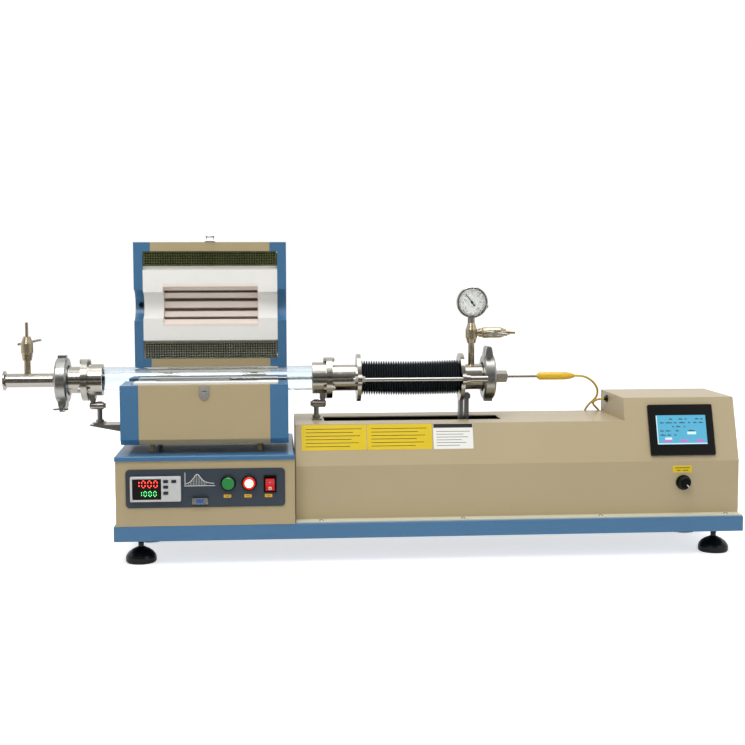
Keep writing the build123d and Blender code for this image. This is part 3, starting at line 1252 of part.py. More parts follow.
VALVE_START = RISER_X + 23.5
VALVE_END = VALVE_START + 47.5
OUTLET_END = VALVE_END + 19.0
RIGHT_BONNET_X = VALVE_START + 22.0
with BuildPart() as gauge_tee:
    riser_end(RISER_X, SPOOL_RADIUS, TEE_LOW)
    tee_plane = Plane(origin=(RISER_X, AXIS_Y, 0), x_dir=(0, 0, 1), z_dir=(0, -1, 0))
    tee_outline = [
        (TEE_LOW, 0),
        (TEE_LOW, -8.5),
        (TEE_LOW + 8, -VALVE_RADIUS + 1),
        (TEE_LOW + 12, -VALVE_RADIUS),
        (TEE_HIGH - 14, -VALVE_RADIUS),
        (TEE_HIGH, -7.5),
        (TEE_HIGH, 0),
    ]
    lathe(tee_outline, tee_plane, Axis((RISER_X, AXIS_Y, 0), (0, 0, 1)))
    branch_plane = Plane(origin=(0, AXIS_Y, TEE_MID), x_dir=(1, 0, 0), z_dir=(0, -1, 0))
    branch_outline = [
        (RISER_X, 0),
        (RISER_X, 7),
        (VALVE_START - 8, 7),
        (VALVE_START - 8, 9),
        (VALVE_START - 2, 9),
        (VALVE_START, VALVE_RADIUS - 1),
        (VALVE_END - 12, VALVE_RADIUS - 1),
        (VALVE_END, 7),
        (VALVE_END, OUTLET_RADIUS + 1.8),
        (VALVE_END + 8, OUTLET_RADIUS + 1.8),
        (VALVE_END + 8, OUTLET_RADIUS),
        (OUTLET_END, OUTLET_RADIUS),
        (OUTLET_END, 0),
    ]
    lathe(branch_outline, branch_plane, Axis((0, AXIS_Y, TEE_MID), (1, 0, 0)))
    rod((RIGHT_BONNET_X, AXIS_Y, TEE_MID), (0, -1, 0), BONNET_RADIUS, BONNET_LENGTH)
    spindle = (RIGHT_BONNET_X, AXIS_Y - SPINDLE_START, TEE_MID)
    rod(spindle, (0, -1, 0), SPINDLE_RADIUS + RUN, BONNET_LENGTH, Mode.SUBTRACT)
save(gauge_tee.part, "gauge_tee")

with BuildPart() as right_valve_handle:
    valve_handle(RIGHT_BONNET_X, TEE_MID, -1, -8.0)
save(right_valve_handle.part, "right_valve_handle")

GAUGE_AXIS = Axis((RISER_X, 0, GAUGE_Z), (0, 1, 0))
GAUGE_PLANE = Plane(origin=(RISER_X, AXIS_Y, GAUGE_Z), x_dir=(0, -1, 0), z_dir=(0, 0, 1))
GAUGE_FRONT = GAUGE_DEPTH / 2
GAUGE_BACK = -GAUGE_DEPTH / 2
DIAL_FACE = GAUGE_FRONT - 8.0
LENS_BACK = GAUGE_FRONT - 3.0
with BuildPart() as gauge_case:
    case_outline = [
        (GAUGE_BACK, 0),
        (GAUGE_BACK, GAUGE_RADIUS - 6),
        (GAUGE_BACK + 3, GAUGE_RADIUS - 2.5),
        (GAUGE_FRONT - 9, GAUGE_RADIUS - 2.5),
        (GAUGE_FRONT - 9, GAUGE_RADIUS),
        (GAUGE_FRONT - 1.5, GAUGE_RADIUS),
        (GAUGE_FRONT, GAUGE_RADIUS - 1.5),
        (GAUGE_FRONT, GAUGE_RADIUS - 4),
        (GAUGE_FRONT - 1.2, GAUGE_RADIUS - 4),
        (GAUGE_FRONT - 1.2, GAUGE_RADIUS - 3.2),
        (DIAL_FACE, GAUGE_RADIUS - 3.2),
        (DIAL_FACE, 0),
    ]
    lathe(case_outline, GAUGE_PLANE, GAUGE_AXIS)
    hexagon((RISER_X, AXIS_Y, TEE_HIGH), (0, 0, 1), 13, GAUGE_Z - TEE_HIGH - GAUGE_RADIUS + 6)
    plug_angle = radians(-16)
    plug_x = RISER_X + (GAUGE_RADIUS - 4) * cos(plug_angle)
    plug_z = GAUGE_Z + (GAUGE_RADIUS - 4) * sin(plug_angle)
    rod((plug_x, AXIS_Y + 2, plug_z), (cos(plug_angle), 0, sin(plug_angle)), 3.5, 8)
save(gauge_case.part, "gauge_case")

with BuildPart() as gauge_lens:
    lens_outline = [
        (LENS_BACK, 0),
        (LENS_BACK, GAUGE_RADIUS - 3.2 - CLEAR),
        (LENS_BACK + 1.6, GAUGE_RADIUS - 3.2 - CLEAR),
        (LENS_BACK + 1.6, 0),
    ]
    lathe(lens_outline, GAUGE_PLANE, GAUGE_AXIS)
save(gauge_lens.part, "gauge_lens")

with BuildPart() as gauge_pointer:
    pointer_y = AXIS_Y - DIAL_FACE - 1.0
    needle = [(-0.9, -9), (0.9, -9), (0.9, 0), (0.25, 21), (-0.25, 21), (-0.9, 0)]
    with BuildSketch(Plane(origin=(RISER_X, pointer_y, GAUGE_Z), x_dir=(1, 0, 0), z_dir=(0, -1, 0))):
        with BuildLine():
            Polyline(*needle, close=True)
        make_face()
        Circle(2.6)
        with Locations((0, -8)):
            Circle(1.8)
    extrude(amount=0.8)
    rod((RISER_X, pointer_y, GAUGE_Z), (0, 1, 0), 1.2, 0.7)
save(gauge_pointer.part.rotate(GAUGE_AXIS, POINTER_REST), "gauge_pointer")

RIGHT_BOLT_REACH = 12.0
with BuildPart() as right_clamp:
    clamp_ring(CARRIAGE_KF)
    clamp_lugs(CARRIAGE_KF, 1)
    clamp_bolt(CARRIAGE_KF, 1, RIGHT_BOLT_REACH)
    hexagon((CARRIAGE_KF, AXIS_Y - LUG_REACH - 6, AXIS_Z + BOLT_LIFT), (0, 1, 0), 10, 6)
save(right_clamp.part, "right_clamp")

FITTING_LENGTH = 24.5
FITTING_NECK = 9.0
COVER_THICK = 7.0
FITTING_START = CARRIAGE_KF + CLAMP_WIDTH / 2 + 4
with BuildPart() as end_flange:
    outline = [(CARRIAGE_KF, PROBE_RADIUS + CLEAR)]
    outline += kf_flange(CARRIAGE_KF, 1, KF50_RADIUS, SPOOL_RADIUS)
    outline += [
        (CARRIAGE_KF + COVER_THICK, SPOOL_RADIUS),
        (CARRIAGE_KF + COVER_THICK, FITTING_NECK),
        (FITTING_START, FITTING_NECK),
        (FITTING_START, PROBE_RADIUS + CLEAR),
    ]
    lathe(outline)
    hexagon((FITTING_START, AXIS_Y, AXIS_Z), (1, 0, 0), FITTING_ACROSS, FITTING_LENGTH)
    chamfer(end_flange.faces().sort_by(Axis.X)[-1].edges(), 1.2)
    rod((FITTING_START - 1, AXIS_Y, AXIS_Z), (1, 0, 0), PROBE_RADIUS + CLEAR, FITTING_LENGTH + 2, Mode.SUBTRACT)
save(end_flange.part, "end_flange")

with BuildPart() as probe_rod:
    rod((PROBE_TIP, AXIS_Y, AXIS_Z), (1, 0, 0), PROBE_RADIUS, HANDLE_START - PROBE_TIP)
    fillet(probe_rod.faces().sort_by(Axis.X)[0].edges(), PROBE_RADIUS * 0.9)
save(probe_rod.part, "probe_rod")

with BuildPart() as cable_handle:
    outline = [
        (HANDLE_START, 0),
        (HANDLE_START, HANDLE_RADIUS * 0.6),
        (HANDLE_START + 5, HANDLE_RADIUS),
        (HANDLE_END - 22, HANDLE_RADIUS),
        (HANDLE_END - 8, HANDLE_RADIUS * 0.8),
        (HANDLE_END, CABLE_RADIUS + 1.2),
        (HANDLE_END, 0),
    ]
    lathe(outline)
save(cable_handle.part, "cable_handle")

BLOCK_MID = MOVING_PLATE + PLATE_THICK / 2
BLOCK_HALF_HEIGHT = SHAFT_RADIUS + 8.0
BLOCK_TOP = DRIVE_Z + BLOCK_HALF_HEIGHT
BLOCK_HALF = SHAFT_SPREAD + SHAFT_RADIUS + 9.0
STEM_HALF = 13.0
STRUT_HALF = 10.0
with BuildPart() as carriage_block:
    half = BLOCK_LENGTH / 2
    low, high = AXIS_Y - BLOCK_HALF, AXIS_Y + BLOCK_HALF
    block(BLOCK_MID - half, BLOCK_MID + half, low, high, DRIVE_Z - BLOCK_HALF_HEIGHT, BLOCK_TOP)
    for y, radius in ((-SHAFT_SPREAD, SHAFT_RADIUS), (0, SCREW_RADIUS), (SHAFT_SPREAD, SHAFT_RADIUS)):
        start = (BLOCK_MID - half - 1, AXIS_Y + y, DRIVE_Z)
        rod(start, (1, 0, 0), radius + RUN, BLOCK_LENGTH + 2, Mode.SUBTRACT)
    stem_top = AXIS_Z - PLATE_RADIUS * 0.9
    block(MOVING_PLATE, CARRIAGE_FACE, AXIS_Y - STEM_HALF, AXIS_Y + STEM_HALF, BLOCK_TOP, stem_top)
    rod((MOVING_PLATE - 1, AXIS_Y, AXIS_Z), (1, 0, 0), PLATE_RADIUS + CLEAR, PLATE_THICK + 2, Mode.SUBTRACT)
    strut_x = CARRIAGE_FACE + 4
    strut_top = AXIS_Z - BODY_RADIUS - 5
    block(strut_x, strut_x + 8, AXIS_Y - STRUT_HALF, AXIS_Y + STRUT_HALF, BLOCK_TOP, strut_top)
    rod((CARRIAGE_FACE, AXIS_Y, strut_top - 8), (1, 0, 0), 4, 6)
    hexagon((strut_x + 8, AXIS_Y, strut_top - 8), (1, 0, 0), 9, 4)
save(carriage_block.part, "carriage_block")


# ---------------------------------------------------------------- drive inside the housing
LEFT_BLOCK = SLOT_LEFT + 66.0
RIGHT_BLOCK = SLOT_RIGHT + 8.0
MOTOR_FACE = RIGHT_BLOCK + 42.0
BLOCK_RISE = SHAFT_RADIUS + 12.0
BLOCK_FOOT = 12.0
BLOCK_SOLE = 8.0
with BuildPart() as drive_frame:
    low, high = AXIS_Y - BLOCK_HALF, AXIS_Y + BLOCK_HALF
    for x in (LEFT_BLOCK, RIGHT_BLOCK):
        block(x, x + END_BLOCK, low, high, DECK, DRIVE_Z + BLOCK_RISE)
        block(x - BLOCK_FOOT, x + END_BLOCK + BLOCK_FOOT, low, high, DECK, DECK + BLOCK_SOLE)
        rod((x - 1, AXIS_Y, DRIVE_Z), (1, 0, 0), SCREW_RADIUS + RUN, END_BLOCK + 2, Mode.SUBTRACT)
    for side in (-1, 1):
        start = (LEFT_BLOCK, AXIS_Y + side * SHAFT_SPREAD, DRIVE_Z)
        rod(start, (1, 0, 0), SHAFT_RADIUS, RIGHT_BLOCK + END_BLOCK - LEFT_BLOCK)
save(drive_frame.part, "drive_frame")

MOTOR_PLATE = 5.0
MOTOR_MARGIN = 6.5
COUPLING_RADIUS = 12.5
COUPLING_LENGTH = 20.0
COLLAR_LENGTH = 4.0
with BuildPart() as stepper_motor:
    half = MOTOR_SIZE / 2
    low, high = AXIS_Y - half - MOTOR_MARGIN, AXIS_Y + half + MOTOR_MARGIN
    block(MOTOR_FACE, MOTOR_FACE + MOTOR_PLATE, low, high, DECK, DRIVE_Z + half + 3)
    block(MOTOR_FACE, MOTOR_FACE + 45, low, high, DECK, DECK + MOTOR_PLATE)
    motor_plane = Plane(origin=(MOTOR_FACE + MOTOR_PLATE, AXIS_Y, DRIVE_Z), x_dir=(0, 1, 0), z_dir=(1, 0, 0))
    with BuildSketch(motor_plane):
        RectangleRounded(MOTOR_SIZE, MOTOR_SIZE, 5)
    extrude(amount=MOTOR_LENGTH)
    rod((MOTOR_FACE - 1, AXIS_Y, DRIVE_Z), (1, 0, 0), SCREW_RADIUS + 1, 30, Mode.SUBTRACT)
save(stepper_motor.part, "stepper_motor")

with BuildPart() as lead_screw:
    screw_left = LEFT_BLOCK - COLLAR_LENGTH - 2
    rod((screw_left, AXIS_Y, DRIVE_Z), (1, 0, 0), SCREW_RADIUS, MOTOR_FACE + 20 - screw_left)
    coupling_left = RIGHT_BLOCK + END_BLOCK + 3
    rod((coupling_left, AXIS_Y, DRIVE_Z), (1, 0, 0), COUPLING_RADIUS, COUPLING_LENGTH)
    for x in (LEFT_BLOCK - COLLAR_LENGTH - 1, LEFT_BLOCK + END_BLOCK + 1):
        rod((x, AXIS_Y, DRIVE_Z), (1, 0, 0), SCREW_RADIUS + 3, COLLAR_LENGTH)
save(lead_screw.part, "lead_screw")


# ---------------------------------------------------------------- long housing
def housing_outline(top, inset):
    """The housing's section in (Y, Z): upright skirt, slanted front, flat top, upright back."""
    slope = tan(radians(HOUSING_SLOPE))
    front = FACE_Y + inset
    fold = FOLD_Z - inset * tan(radians(HOUSING_SLOPE / 2))
    roof = top - inset
    return [
        (front, DECK - (1 if inset else 0)),
        (front, fold),
        (front + (roof - fold) * slope, roof),
        (BACK_Y - inset, roof),
        (BACK_Y - inset, DECK - (1 if inset else 0)),
    ]


SCREEN_X = KNOB_X + SCREEN_OFFSET
SLOPE = radians(HOUSING_SLOPE)
SCREEN_UP = SCREEN_BASE + SCREEN_HEIGHT / 2
SCREEN_PLANE = Plane(
    origin=(SCREEN_X, FACE_Y + SCREEN_UP * sin(SLOPE), FOLD_Z + SCREEN_UP * cos(SLOPE)),
    x_dir=(1, 0, 0),
    z_dir=(0, -cos(SLOPE), sin(SLOPE)),
)
GROMMET_Y = BACK_Y - 49.5
GROMMET_Z = BOX_Z - 14.0
with BuildPart() as feed_housing:
    prism(section_plane(HOUSING_LEFT), housing_outline(LOW_Z, 0), BOX_LEFT - HOUSING_LEFT)
    prism(section_plane(BOX_LEFT), housing_outline(BOX_Z, 0), HOUSING_RIGHT - BOX_LEFT)
    low_start = HOUSING_LEFT + HOUSING_SHEET
    low_length = BOX_LEFT + HOUSING_SHEET - low_start
    prism(section_plane(low_start), housing_outline(LOW_Z, HOUSING_SHEET), low_length, Mode.SUBTRACT)
    box_start = BOX_LEFT + HOUSING_SHEET
    box_length = HOUSING_RIGHT - HOUSING_SHEET - box_start
    prism(section_plane(box_start), housing_outline(BOX_Z, HOUSING_SHEET), box_length, Mode.SUBTRACT)
    front_flange = (FACE_Y - HOUSING_FLANGE, FACE_Y + HOUSING_SHEET)
    rear_flange = (BACK_Y - HOUSING_SHEET, BACK_Y + REAR_FLANGE)
    for y0, y1 in (front_flange, rear_flange):
        block(HOUSING_LEFT, HOUSING_RIGHT, y0, y1, DECK, DECK + HOUSING_SHEET)
    half = SLOT_WIDTH / 2
    roof_low, roof_high = LOW_Z - HOUSING_SHEET - 1, LOW_Z + 1
    block(SLOT_LEFT, SLOT_RIGHT, AXIS_Y - half, AXIS_Y + half, roof_low, roof_high, Mode.SUBTRACT)
    with BuildSketch(SCREEN_PLANE):
        Rectangle(SCREEN_LENGTH - 2 * SCREEN_LIP, SCREEN_HEIGHT - 2 * SCREEN_LIP)
    extrude(amount=-HOUSING_SHEET * 2, mode=Mode.SUBTRACT)
    rod((KNOB_X, FACE_Y - 1, KNOB_Z), (0, 1, 0), PANEL_HOLE, HOUSING_SHEET + 2, Mode.SUBTRACT)
    rod((BOX_LEFT - 1, GROMMET_Y, GROMMET_Z), (1, 0, 0), PANEL_HOLE, HOUSING_SHEET + 2, Mode.SUBTRACT)
save(feed_housing.part, "feed_housing")

with BuildPart() as touch_screen:
    with BuildSketch(SCREEN_PLANE):
        RectangleRounded(SCREEN_LENGTH, SCREEN_HEIGHT, 3)
    extrude(amount=SCREEN_PROUD)
    chamfer(touch_screen.faces().sort_by(Axis.Y)[0].edges(), 1.5)
    with BuildSketch(SCREEN_PLANE.offset(SCREEN_PROUD)):
        Rectangle(PANE_LENGTH, PANE_HEIGHT)
    extrude(amount=-PANE_DEPTH, mode=Mode.SUBTRACT)
    with BuildSketch(SCREEN_PLANE):
        Rectangle(SCREEN_LENGTH - 2 * SCREEN_LIP - 1, SCREEN_HEIGHT - 2 * SCREEN_LIP - 1)
    extrude(amount=-SCREEN_DEPTH)
save(touch_screen.part, "touch_screen")

KNOB_AXIS = Axis((KNOB_X, 0, KNOB_Z), (0, 1, 0))
KNOB_PLANE = Plane(origin=(KNOB_X, FACE_Y, KNOB_Z), x_dir=(0, -1, 0), z_dir=(0, 0, 1))
with BuildPart() as speed_knob:
    knob_outline = [
        (-18, 0),
        (-18, KNOB_STEM),
        (0.5, KNOB_STEM),
        (0.5, KNOB_RADIUS),
        (3.5, KNOB_RADIUS),
        (4.5, KNOB_RADIUS - 2.5),
        (KNOB_DEPTH - 1, KNOB_RADIUS - 4),
        (KNOB_DEPTH, KNOB_RADIUS - 5),
        (KNOB_DEPTH, 0),
    ]
    lathe(knob_outline, KNOB_PLANE, KNOB_AXIS)
    groove_circle = KNOB_RADIUS - 2.2
    for step in range(KNOB_GROOVES):
        angle = 2 * pi * step / KNOB_GROOVES
        x, z = KNOB_X + groove_circle * cos(angle), KNOB_Z + groove_circle * sin(angle)
        rod((x, FACE_Y - 5, z), (0, -1, 0), 1.2, KNOB_DEPTH, Mode.SUBTRACT)
save(speed_knob.part, "speed_knob")

INLET_PLATE_LENGTH = 50.0
INLET_PLATE_HEIGHT = 30.0
INLET_DEPTH = 25.0
INLET_WALL = 3.0
PIN_SPACING = 6.0
with BuildPart() as cable_fittings:
    half_x, half_z = INLET_PLATE_LENGTH / 2, INLET_PLATE_HEIGHT / 2
    block(INLET_X - half_x, INLET_X + half_x, TRAY_BACK, TRAY_BACK + 3, INLET_Z - half_z, INLET_Z + half_z)
    half_x, half_z = INLET_LENGTH / 2 - CLEAR, INLET_HEIGHT / 2 - CLEAR
    inlet_front = TRAY_BACK - INLET_DEPTH
    block(INLET_X - half_x, INLET_X + half_x, inlet_front, TRAY_BACK, INLET_Z - half_z, INLET_Z + half_z)
    half_x, half_z = INLET_LENGTH / 2 - INLET_WALL, INLET_HEIGHT / 2 - INLET_WALL
    socket = (TRAY_BACK - INLET_DEPTH + 9, TRAY_BACK + 4)
    block(INLET_X - half_x, INLET_X + half_x, *socket, INLET_Z - half_z, INLET_Z + half_z, Mode.SUBTRACT)
    for x in (INLET_X - PIN_SPACING, INLET_X, INLET_X + PIN_SPACING):
        block(x - 1, x + 1, TRAY_BACK - INLET_DEPTH + 8, TRAY_BACK - 2, INLET_Z - 2, INLET_Z + 2)
    grommet_plane = Plane(origin=(BOX_LEFT, GROMMET_Y, GROMMET_Z), x_dir=(1, 0, 0), z_dir=(0, -1, 0))
    grommet_outline = [
        (-7, CABLE_RADIUS + CLEAR),
        (-7, CABLE_RADIUS + 1.4),
        (-3, PANEL_HOLE),
        (-3, PANEL_HOLE + 2.5),
        (0, PANEL_HOLE + 3),
        (0, PANEL_HOLE - 0.1),
        (HOUSING_SHEET, PANEL_HOLE - 0.1),
        (HOUSING_SHEET, PANEL_HOLE + 2),
        (5, 6.0),
        (5, CABLE_RADIUS + CLEAR),
    ]
    lathe(grommet_outline, grommet_plane, Axis((BOX_LEFT, GROMMET_Y, GROMMET_Z), (1, 0, 0)))
save(cable_fittings.part, "cable_fittings")


# ---------------------------------------------------------------- yellow cable
# The route is in millimetres from the handle's cable end, which is its first point.
CABLE_ROUTE = [
    (0, 0, 0),
    (18, 0, 0),
    (35, 8, -8),
    (49, 22, -19),
    (60, 40, -33),
    (64, 60, -48),
    (61, 79, -60),
    (56, 96, -69),
    (50, 109, -83),
    (46, 115, -100),
    (48, 118, -118),
    (58, 119, -131),
    (73, 119, -133),
    (85, 118, -122),
    (89, 115, -105),
    (84, 109, -90),
    (74, 100, -79),
    (63, 85, -71),
    (56, 67, -62),
]
GROMMET_LEAD = 17.5
grommet_start = (BOX_LEFT - GROMMET_LEAD, GROMMET_Y, GROMMET_Z)
grommet_end = (BOX_LEFT + 4, GROMMET_Y, GROMMET_Z)
route = [(HANDLE_END + x, AXIS_Y + y, AXIS_Z + z) for x, y, z in CABLE_ROUTE]
route += [grommet_start, grommet_end]


def corner_radii(points):
    """The largest arc at each corner that its two runs leave room for."""
    radii = []
    for before, here, after in zip(points, points[1:], points[2:]):
        incoming = Vector(*here) - Vector(*before)
        outgoing = Vector(*after) - Vector(*here)
        turn = radians(incoming.get_angle(outgoing))
        radii.append(0.45 * min(incoming.length, outgoing.length) / tan(turn / 2))
    return radii


cable_radii = corner_radii(route)
print("cable radii", [round(r, 1) for r in cable_radii])
with BuildPart() as signal_cable:
    with BuildLine() as cable_path:
        FilletPolyline(*route, radius=cable_radii)
    with BuildSketch(Plane(origin=cable_path.line @ 0, z_dir=cable_path.line % 0)):
        Circle(CABLE_RADIUS)
    sweep(path=cable_path.line)
cable_length = cable_path.wires()[0].length
print("cable length", round(cable_length, 1), "volume", round(signal_cable.part.volume))
print("section times length", round(pi * CABLE_RADIUS**2 * cable_length))
save(signal_cable.part, "signal_cable")
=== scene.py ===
import json
from math import cos, hypot, pi, radians, sin

import bmesh
import bpy
from mathutils import Matrix, Vector


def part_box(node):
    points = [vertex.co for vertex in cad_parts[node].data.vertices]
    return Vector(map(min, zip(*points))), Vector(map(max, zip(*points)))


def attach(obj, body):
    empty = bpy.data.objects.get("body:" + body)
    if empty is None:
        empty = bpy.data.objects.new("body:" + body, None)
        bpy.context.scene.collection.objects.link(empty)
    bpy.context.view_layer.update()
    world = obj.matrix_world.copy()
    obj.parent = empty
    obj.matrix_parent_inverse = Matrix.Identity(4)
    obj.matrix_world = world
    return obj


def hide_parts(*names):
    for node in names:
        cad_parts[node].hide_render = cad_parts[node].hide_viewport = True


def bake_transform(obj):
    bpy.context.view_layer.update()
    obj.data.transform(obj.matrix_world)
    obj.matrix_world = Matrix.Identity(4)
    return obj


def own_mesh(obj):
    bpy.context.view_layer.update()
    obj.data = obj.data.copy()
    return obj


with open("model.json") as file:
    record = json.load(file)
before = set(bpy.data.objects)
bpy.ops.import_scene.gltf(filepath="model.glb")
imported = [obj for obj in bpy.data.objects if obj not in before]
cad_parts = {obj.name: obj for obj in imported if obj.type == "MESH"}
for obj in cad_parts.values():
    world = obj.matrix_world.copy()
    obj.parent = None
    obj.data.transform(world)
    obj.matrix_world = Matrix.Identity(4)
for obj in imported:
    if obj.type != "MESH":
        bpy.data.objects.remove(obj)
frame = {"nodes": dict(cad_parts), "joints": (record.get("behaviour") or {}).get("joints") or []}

MM = 0.001
UP = Vector((0, 0, 1))
RIGHT = Vector((1, 0, 0))
BACK = Vector((0, 1, 0))
FRONT = -BACK

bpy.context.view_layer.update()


def corners_of(node):
    """The lowest and highest corners of a node's box."""
    return tuple(Vector(corner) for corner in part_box(node))


tray_low = corners_of("base_tray")[0]
tube_low, tube_high = corners_of("quartz_tube")
AXIS_Y = (tube_low.y + tube_high.y) / 2
AXIS_Z = (tube_low.z + tube_high.z) / 2
HINGE = next(Vector(joint["pos_m"]) for joint in frame["joints"] if joint["name"] == "lid_hinge")
DATUM_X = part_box("control_case")[0][0] - 1.0 * MM


def show(thing):
    """Puts a new object into the scene."""
    bpy.context.scene.collection.objects.link(thing)


def place(x, y, z):
    """A point in millimetres: x from just left of the case, y from the tray's front, z from the floor."""
    return Vector((DATUM_X + x * MM, tray_low.y + y * MM, z * MM))


# ---------------------------------------------------------------- camera, floor and light
CAMERA_AT = (308.2, -2438.3, 577.3)
CAMERA_YAW = radians(4.33)
CAMERA_PITCH = radians(4.79)
CAMERA_ROLL = radians(-0.13)
SENSOR = 36.0
LENS = 61.78


def add_camera():
    """The camera at the front left, turned a little to the right and down."""
    ahead = cos(CAMERA_PITCH)
    forward = Vector((sin(CAMERA_YAW) * ahead, cos(CAMERA_YAW) * ahead, -sin(CAMERA_PITCH)))
    level = Vector((cos(CAMERA_YAW), -sin(CAMERA_YAW), 0))
    upright = level.cross(forward)
    side = level * cos(CAMERA_ROLL) + upright * sin(CAMERA_ROLL)
    top = upright * cos(CAMERA_ROLL) - level * sin(CAMERA_ROLL)
    data = bpy.data.cameras.new("camera")
    data.lens, data.sensor_width = LENS, SENSOR
    data.clip_start, data.clip_end = 0.05, 50
    camera = bpy.data.objects.new("camera", data)
    show(camera)
    turn = Matrix((side, top, -forward)).transposed().to_4x4()
    camera.matrix_world = Matrix.Translation(place(*CAMERA_AT)) @ turn
    bpy.context.scene.camera = camera


def add_lamp(name, at, aim, size, power):
    """A round soft lamp of a size in metres and a power in watts, aimed at a point."""
    data = bpy.data.lights.new(name, "AREA")
    data.shape, data.size, data.energy = "DISK", size, power
    lamp = bpy.data.objects.new(name, data)
    show(lamp)
    lamp.location = at
    lamp.rotation_euler = (Vector(aim) - Vector(at)).to_track_quat("-Z", "Y").to_euler()


ROOM_BEHIND = -0.9
ROOM_AHEAD = 0.35


def light_world(ambient, behind_camera):
    """White behind the object, a darker room behind the camera and a lower level on matt surfaces."""
    world = bpy.data.worlds.new("studio")
    bpy.context.scene.world = world
    world.use_nodes = True
    nodes, links = world.node_tree.nodes, world.node_tree.links
    background = nodes["Background"]
    place_node = nodes.new("ShaderNodeTexCoord")
    split = nodes.new("ShaderNodeSeparateXYZ")
    links.new(place_node.outputs["Generated"], split.inputs[0])
    room = nodes.new("ShaderNodeMapRange")
    room.inputs["From Min"].default_value = ROOM_BEHIND
    room.inputs["From Max"].default_value = ROOM_AHEAD
    room.inputs["To Min"].default_value = behind_camera
    room.inputs["To Max"].default_value = 1.0
    links.new(split.outputs["Y"], room.inputs["Value"])
    path = nodes.new("ShaderNodeLightPath")
    seen = nodes.new("ShaderNodeMath")
    seen.operation = "MAXIMUM"
    links.new(path.outputs["Is Glossy Ray"], seen.inputs[0])
    links.new(path.outputs["Is Transmission Ray"], seen.inputs[1])
    level = nodes.new("ShaderNodeMix")
    level.inputs["A"].default_value = ambient
    links.new(seen.outputs[0], level.inputs["Factor"])
    links.new(room.outputs[0], level.inputs["B"])
    shown = nodes.new("ShaderNodeMix")
    shown.inputs["B"].default_value = 1.0
    links.new(path.outputs["Is Camera Ray"], shown.inputs["Factor"])
    links.new(level.outputs[0], shown.inputs["A"])
    links.new(shown.outputs[0], background.inputs["Strength"])
    background.inputs["Color"].default_value = (1, 1, 1, 1)


FLOOR_REACH = 12
FLOOR_COLOUR = (0.82, 0.82, 0.82, 1)
FLOOR_IN_METAL = 0.5


def add_floor(glow):
    """A pale floor that keeps the shadow; its glow is seen directly and, more weakly, in metal."""
    size = FLOOR_REACH
    corners = [(-size, -size, 0), (size, -size, 0), (size, size, 0), (-size, size, 0)]
    mesh = bpy.data.meshes.new("floor")
    mesh.from_pydata(corners, [], [(0, 1, 2, 3)])
    floor = bpy.data.objects.new("floor", mesh)
    show(floor)
    material = bpy.data.materials.new("floor_white")
    material.use_nodes = True
    shader = material.node_tree.nodes["Principled BSDF"]
    shader.inputs["Base Color"].default_value = FLOOR_COLOUR
    shader.inputs["Roughness"].default_value = 1.0
    shader.inputs["Emission Color"].default_value = (1, 1, 1, 1)
    nodes, links = material.node_tree.nodes, material.node_tree.links
    path = nodes.new("ShaderNodeLightPath")
    seen = nodes.new("ShaderNodeMath")
    seen.operation = "MAXIMUM"
    links.new(path.outputs["Is Camera Ray"], seen.inputs[0])
    links.new(path.outputs["Is Transmission Ray"], seen.inputs[1])
    also = nodes.new("ShaderNodeMath")
    also.operation = "MULTIPLY_ADD"
    links.new(path.outputs["Is Glossy Ray"], also.inputs[0])
    also.inputs[1].default_value = FLOOR_IN_METAL
    links.new(seen.outputs[0], also.inputs[2])
    level = nodes.new("ShaderNodeMath")
    level.operation = "MULTIPLY"
    links.new(also.outputs[0], level.inputs[0])
    level.inputs[1].default_value = glow
    links.new(level.outputs[0], shader.inputs["Emission Strength"])
    mesh.materials.append(material)


def add_card(name, corners, colour):
    """A dark card that only glossy rays see, for the dark bands in the bright metal."""
    mesh = bpy.data.meshes.new(name)
    mesh.from_pydata(corners, [], [(0, 1, 2, 3)])
    card = bpy.data.objects.new(name, mesh)
    show(card)
    material = bpy.data.materials.new(name)
    material.use_nodes = True
    shader = material.node_tree.nodes["Principled BSDF"]
    shader.inputs["Base Color"].default_value = colour
    shader.inputs["Roughness"].default_value = 1.0
    shader.inputs["Specular IOR Level"].default_value = 0.0
    mesh.materials.append(material)
    card.visible_camera = card.visible_diffuse = card.visible_shadow = card.visible_transmission = False


# ---------------------------------------------------------------- materials
def srgb(red, green, blue):
    """A colour as it looks on screen, 0 to 255, in Blender's linear values."""
    linear = []
    for value in (red, green, blue):
        share = value / 255
        linear.append(share / 12.92 if share <= 0.04045 else ((share + 0.055) / 1.055) ** 2.4)
    return (*linear, 1.0)


def shade(colour, factor):
    """A colour made lighter or darker."""
    return (*(min(1.0, value * factor) for value in colour[:3]), 1.0)


EVEN_GRAIN = (900, 900, 900)
GRAIN_HEIGHT = 0.0005
GLOSS_CHANGE = 0.15


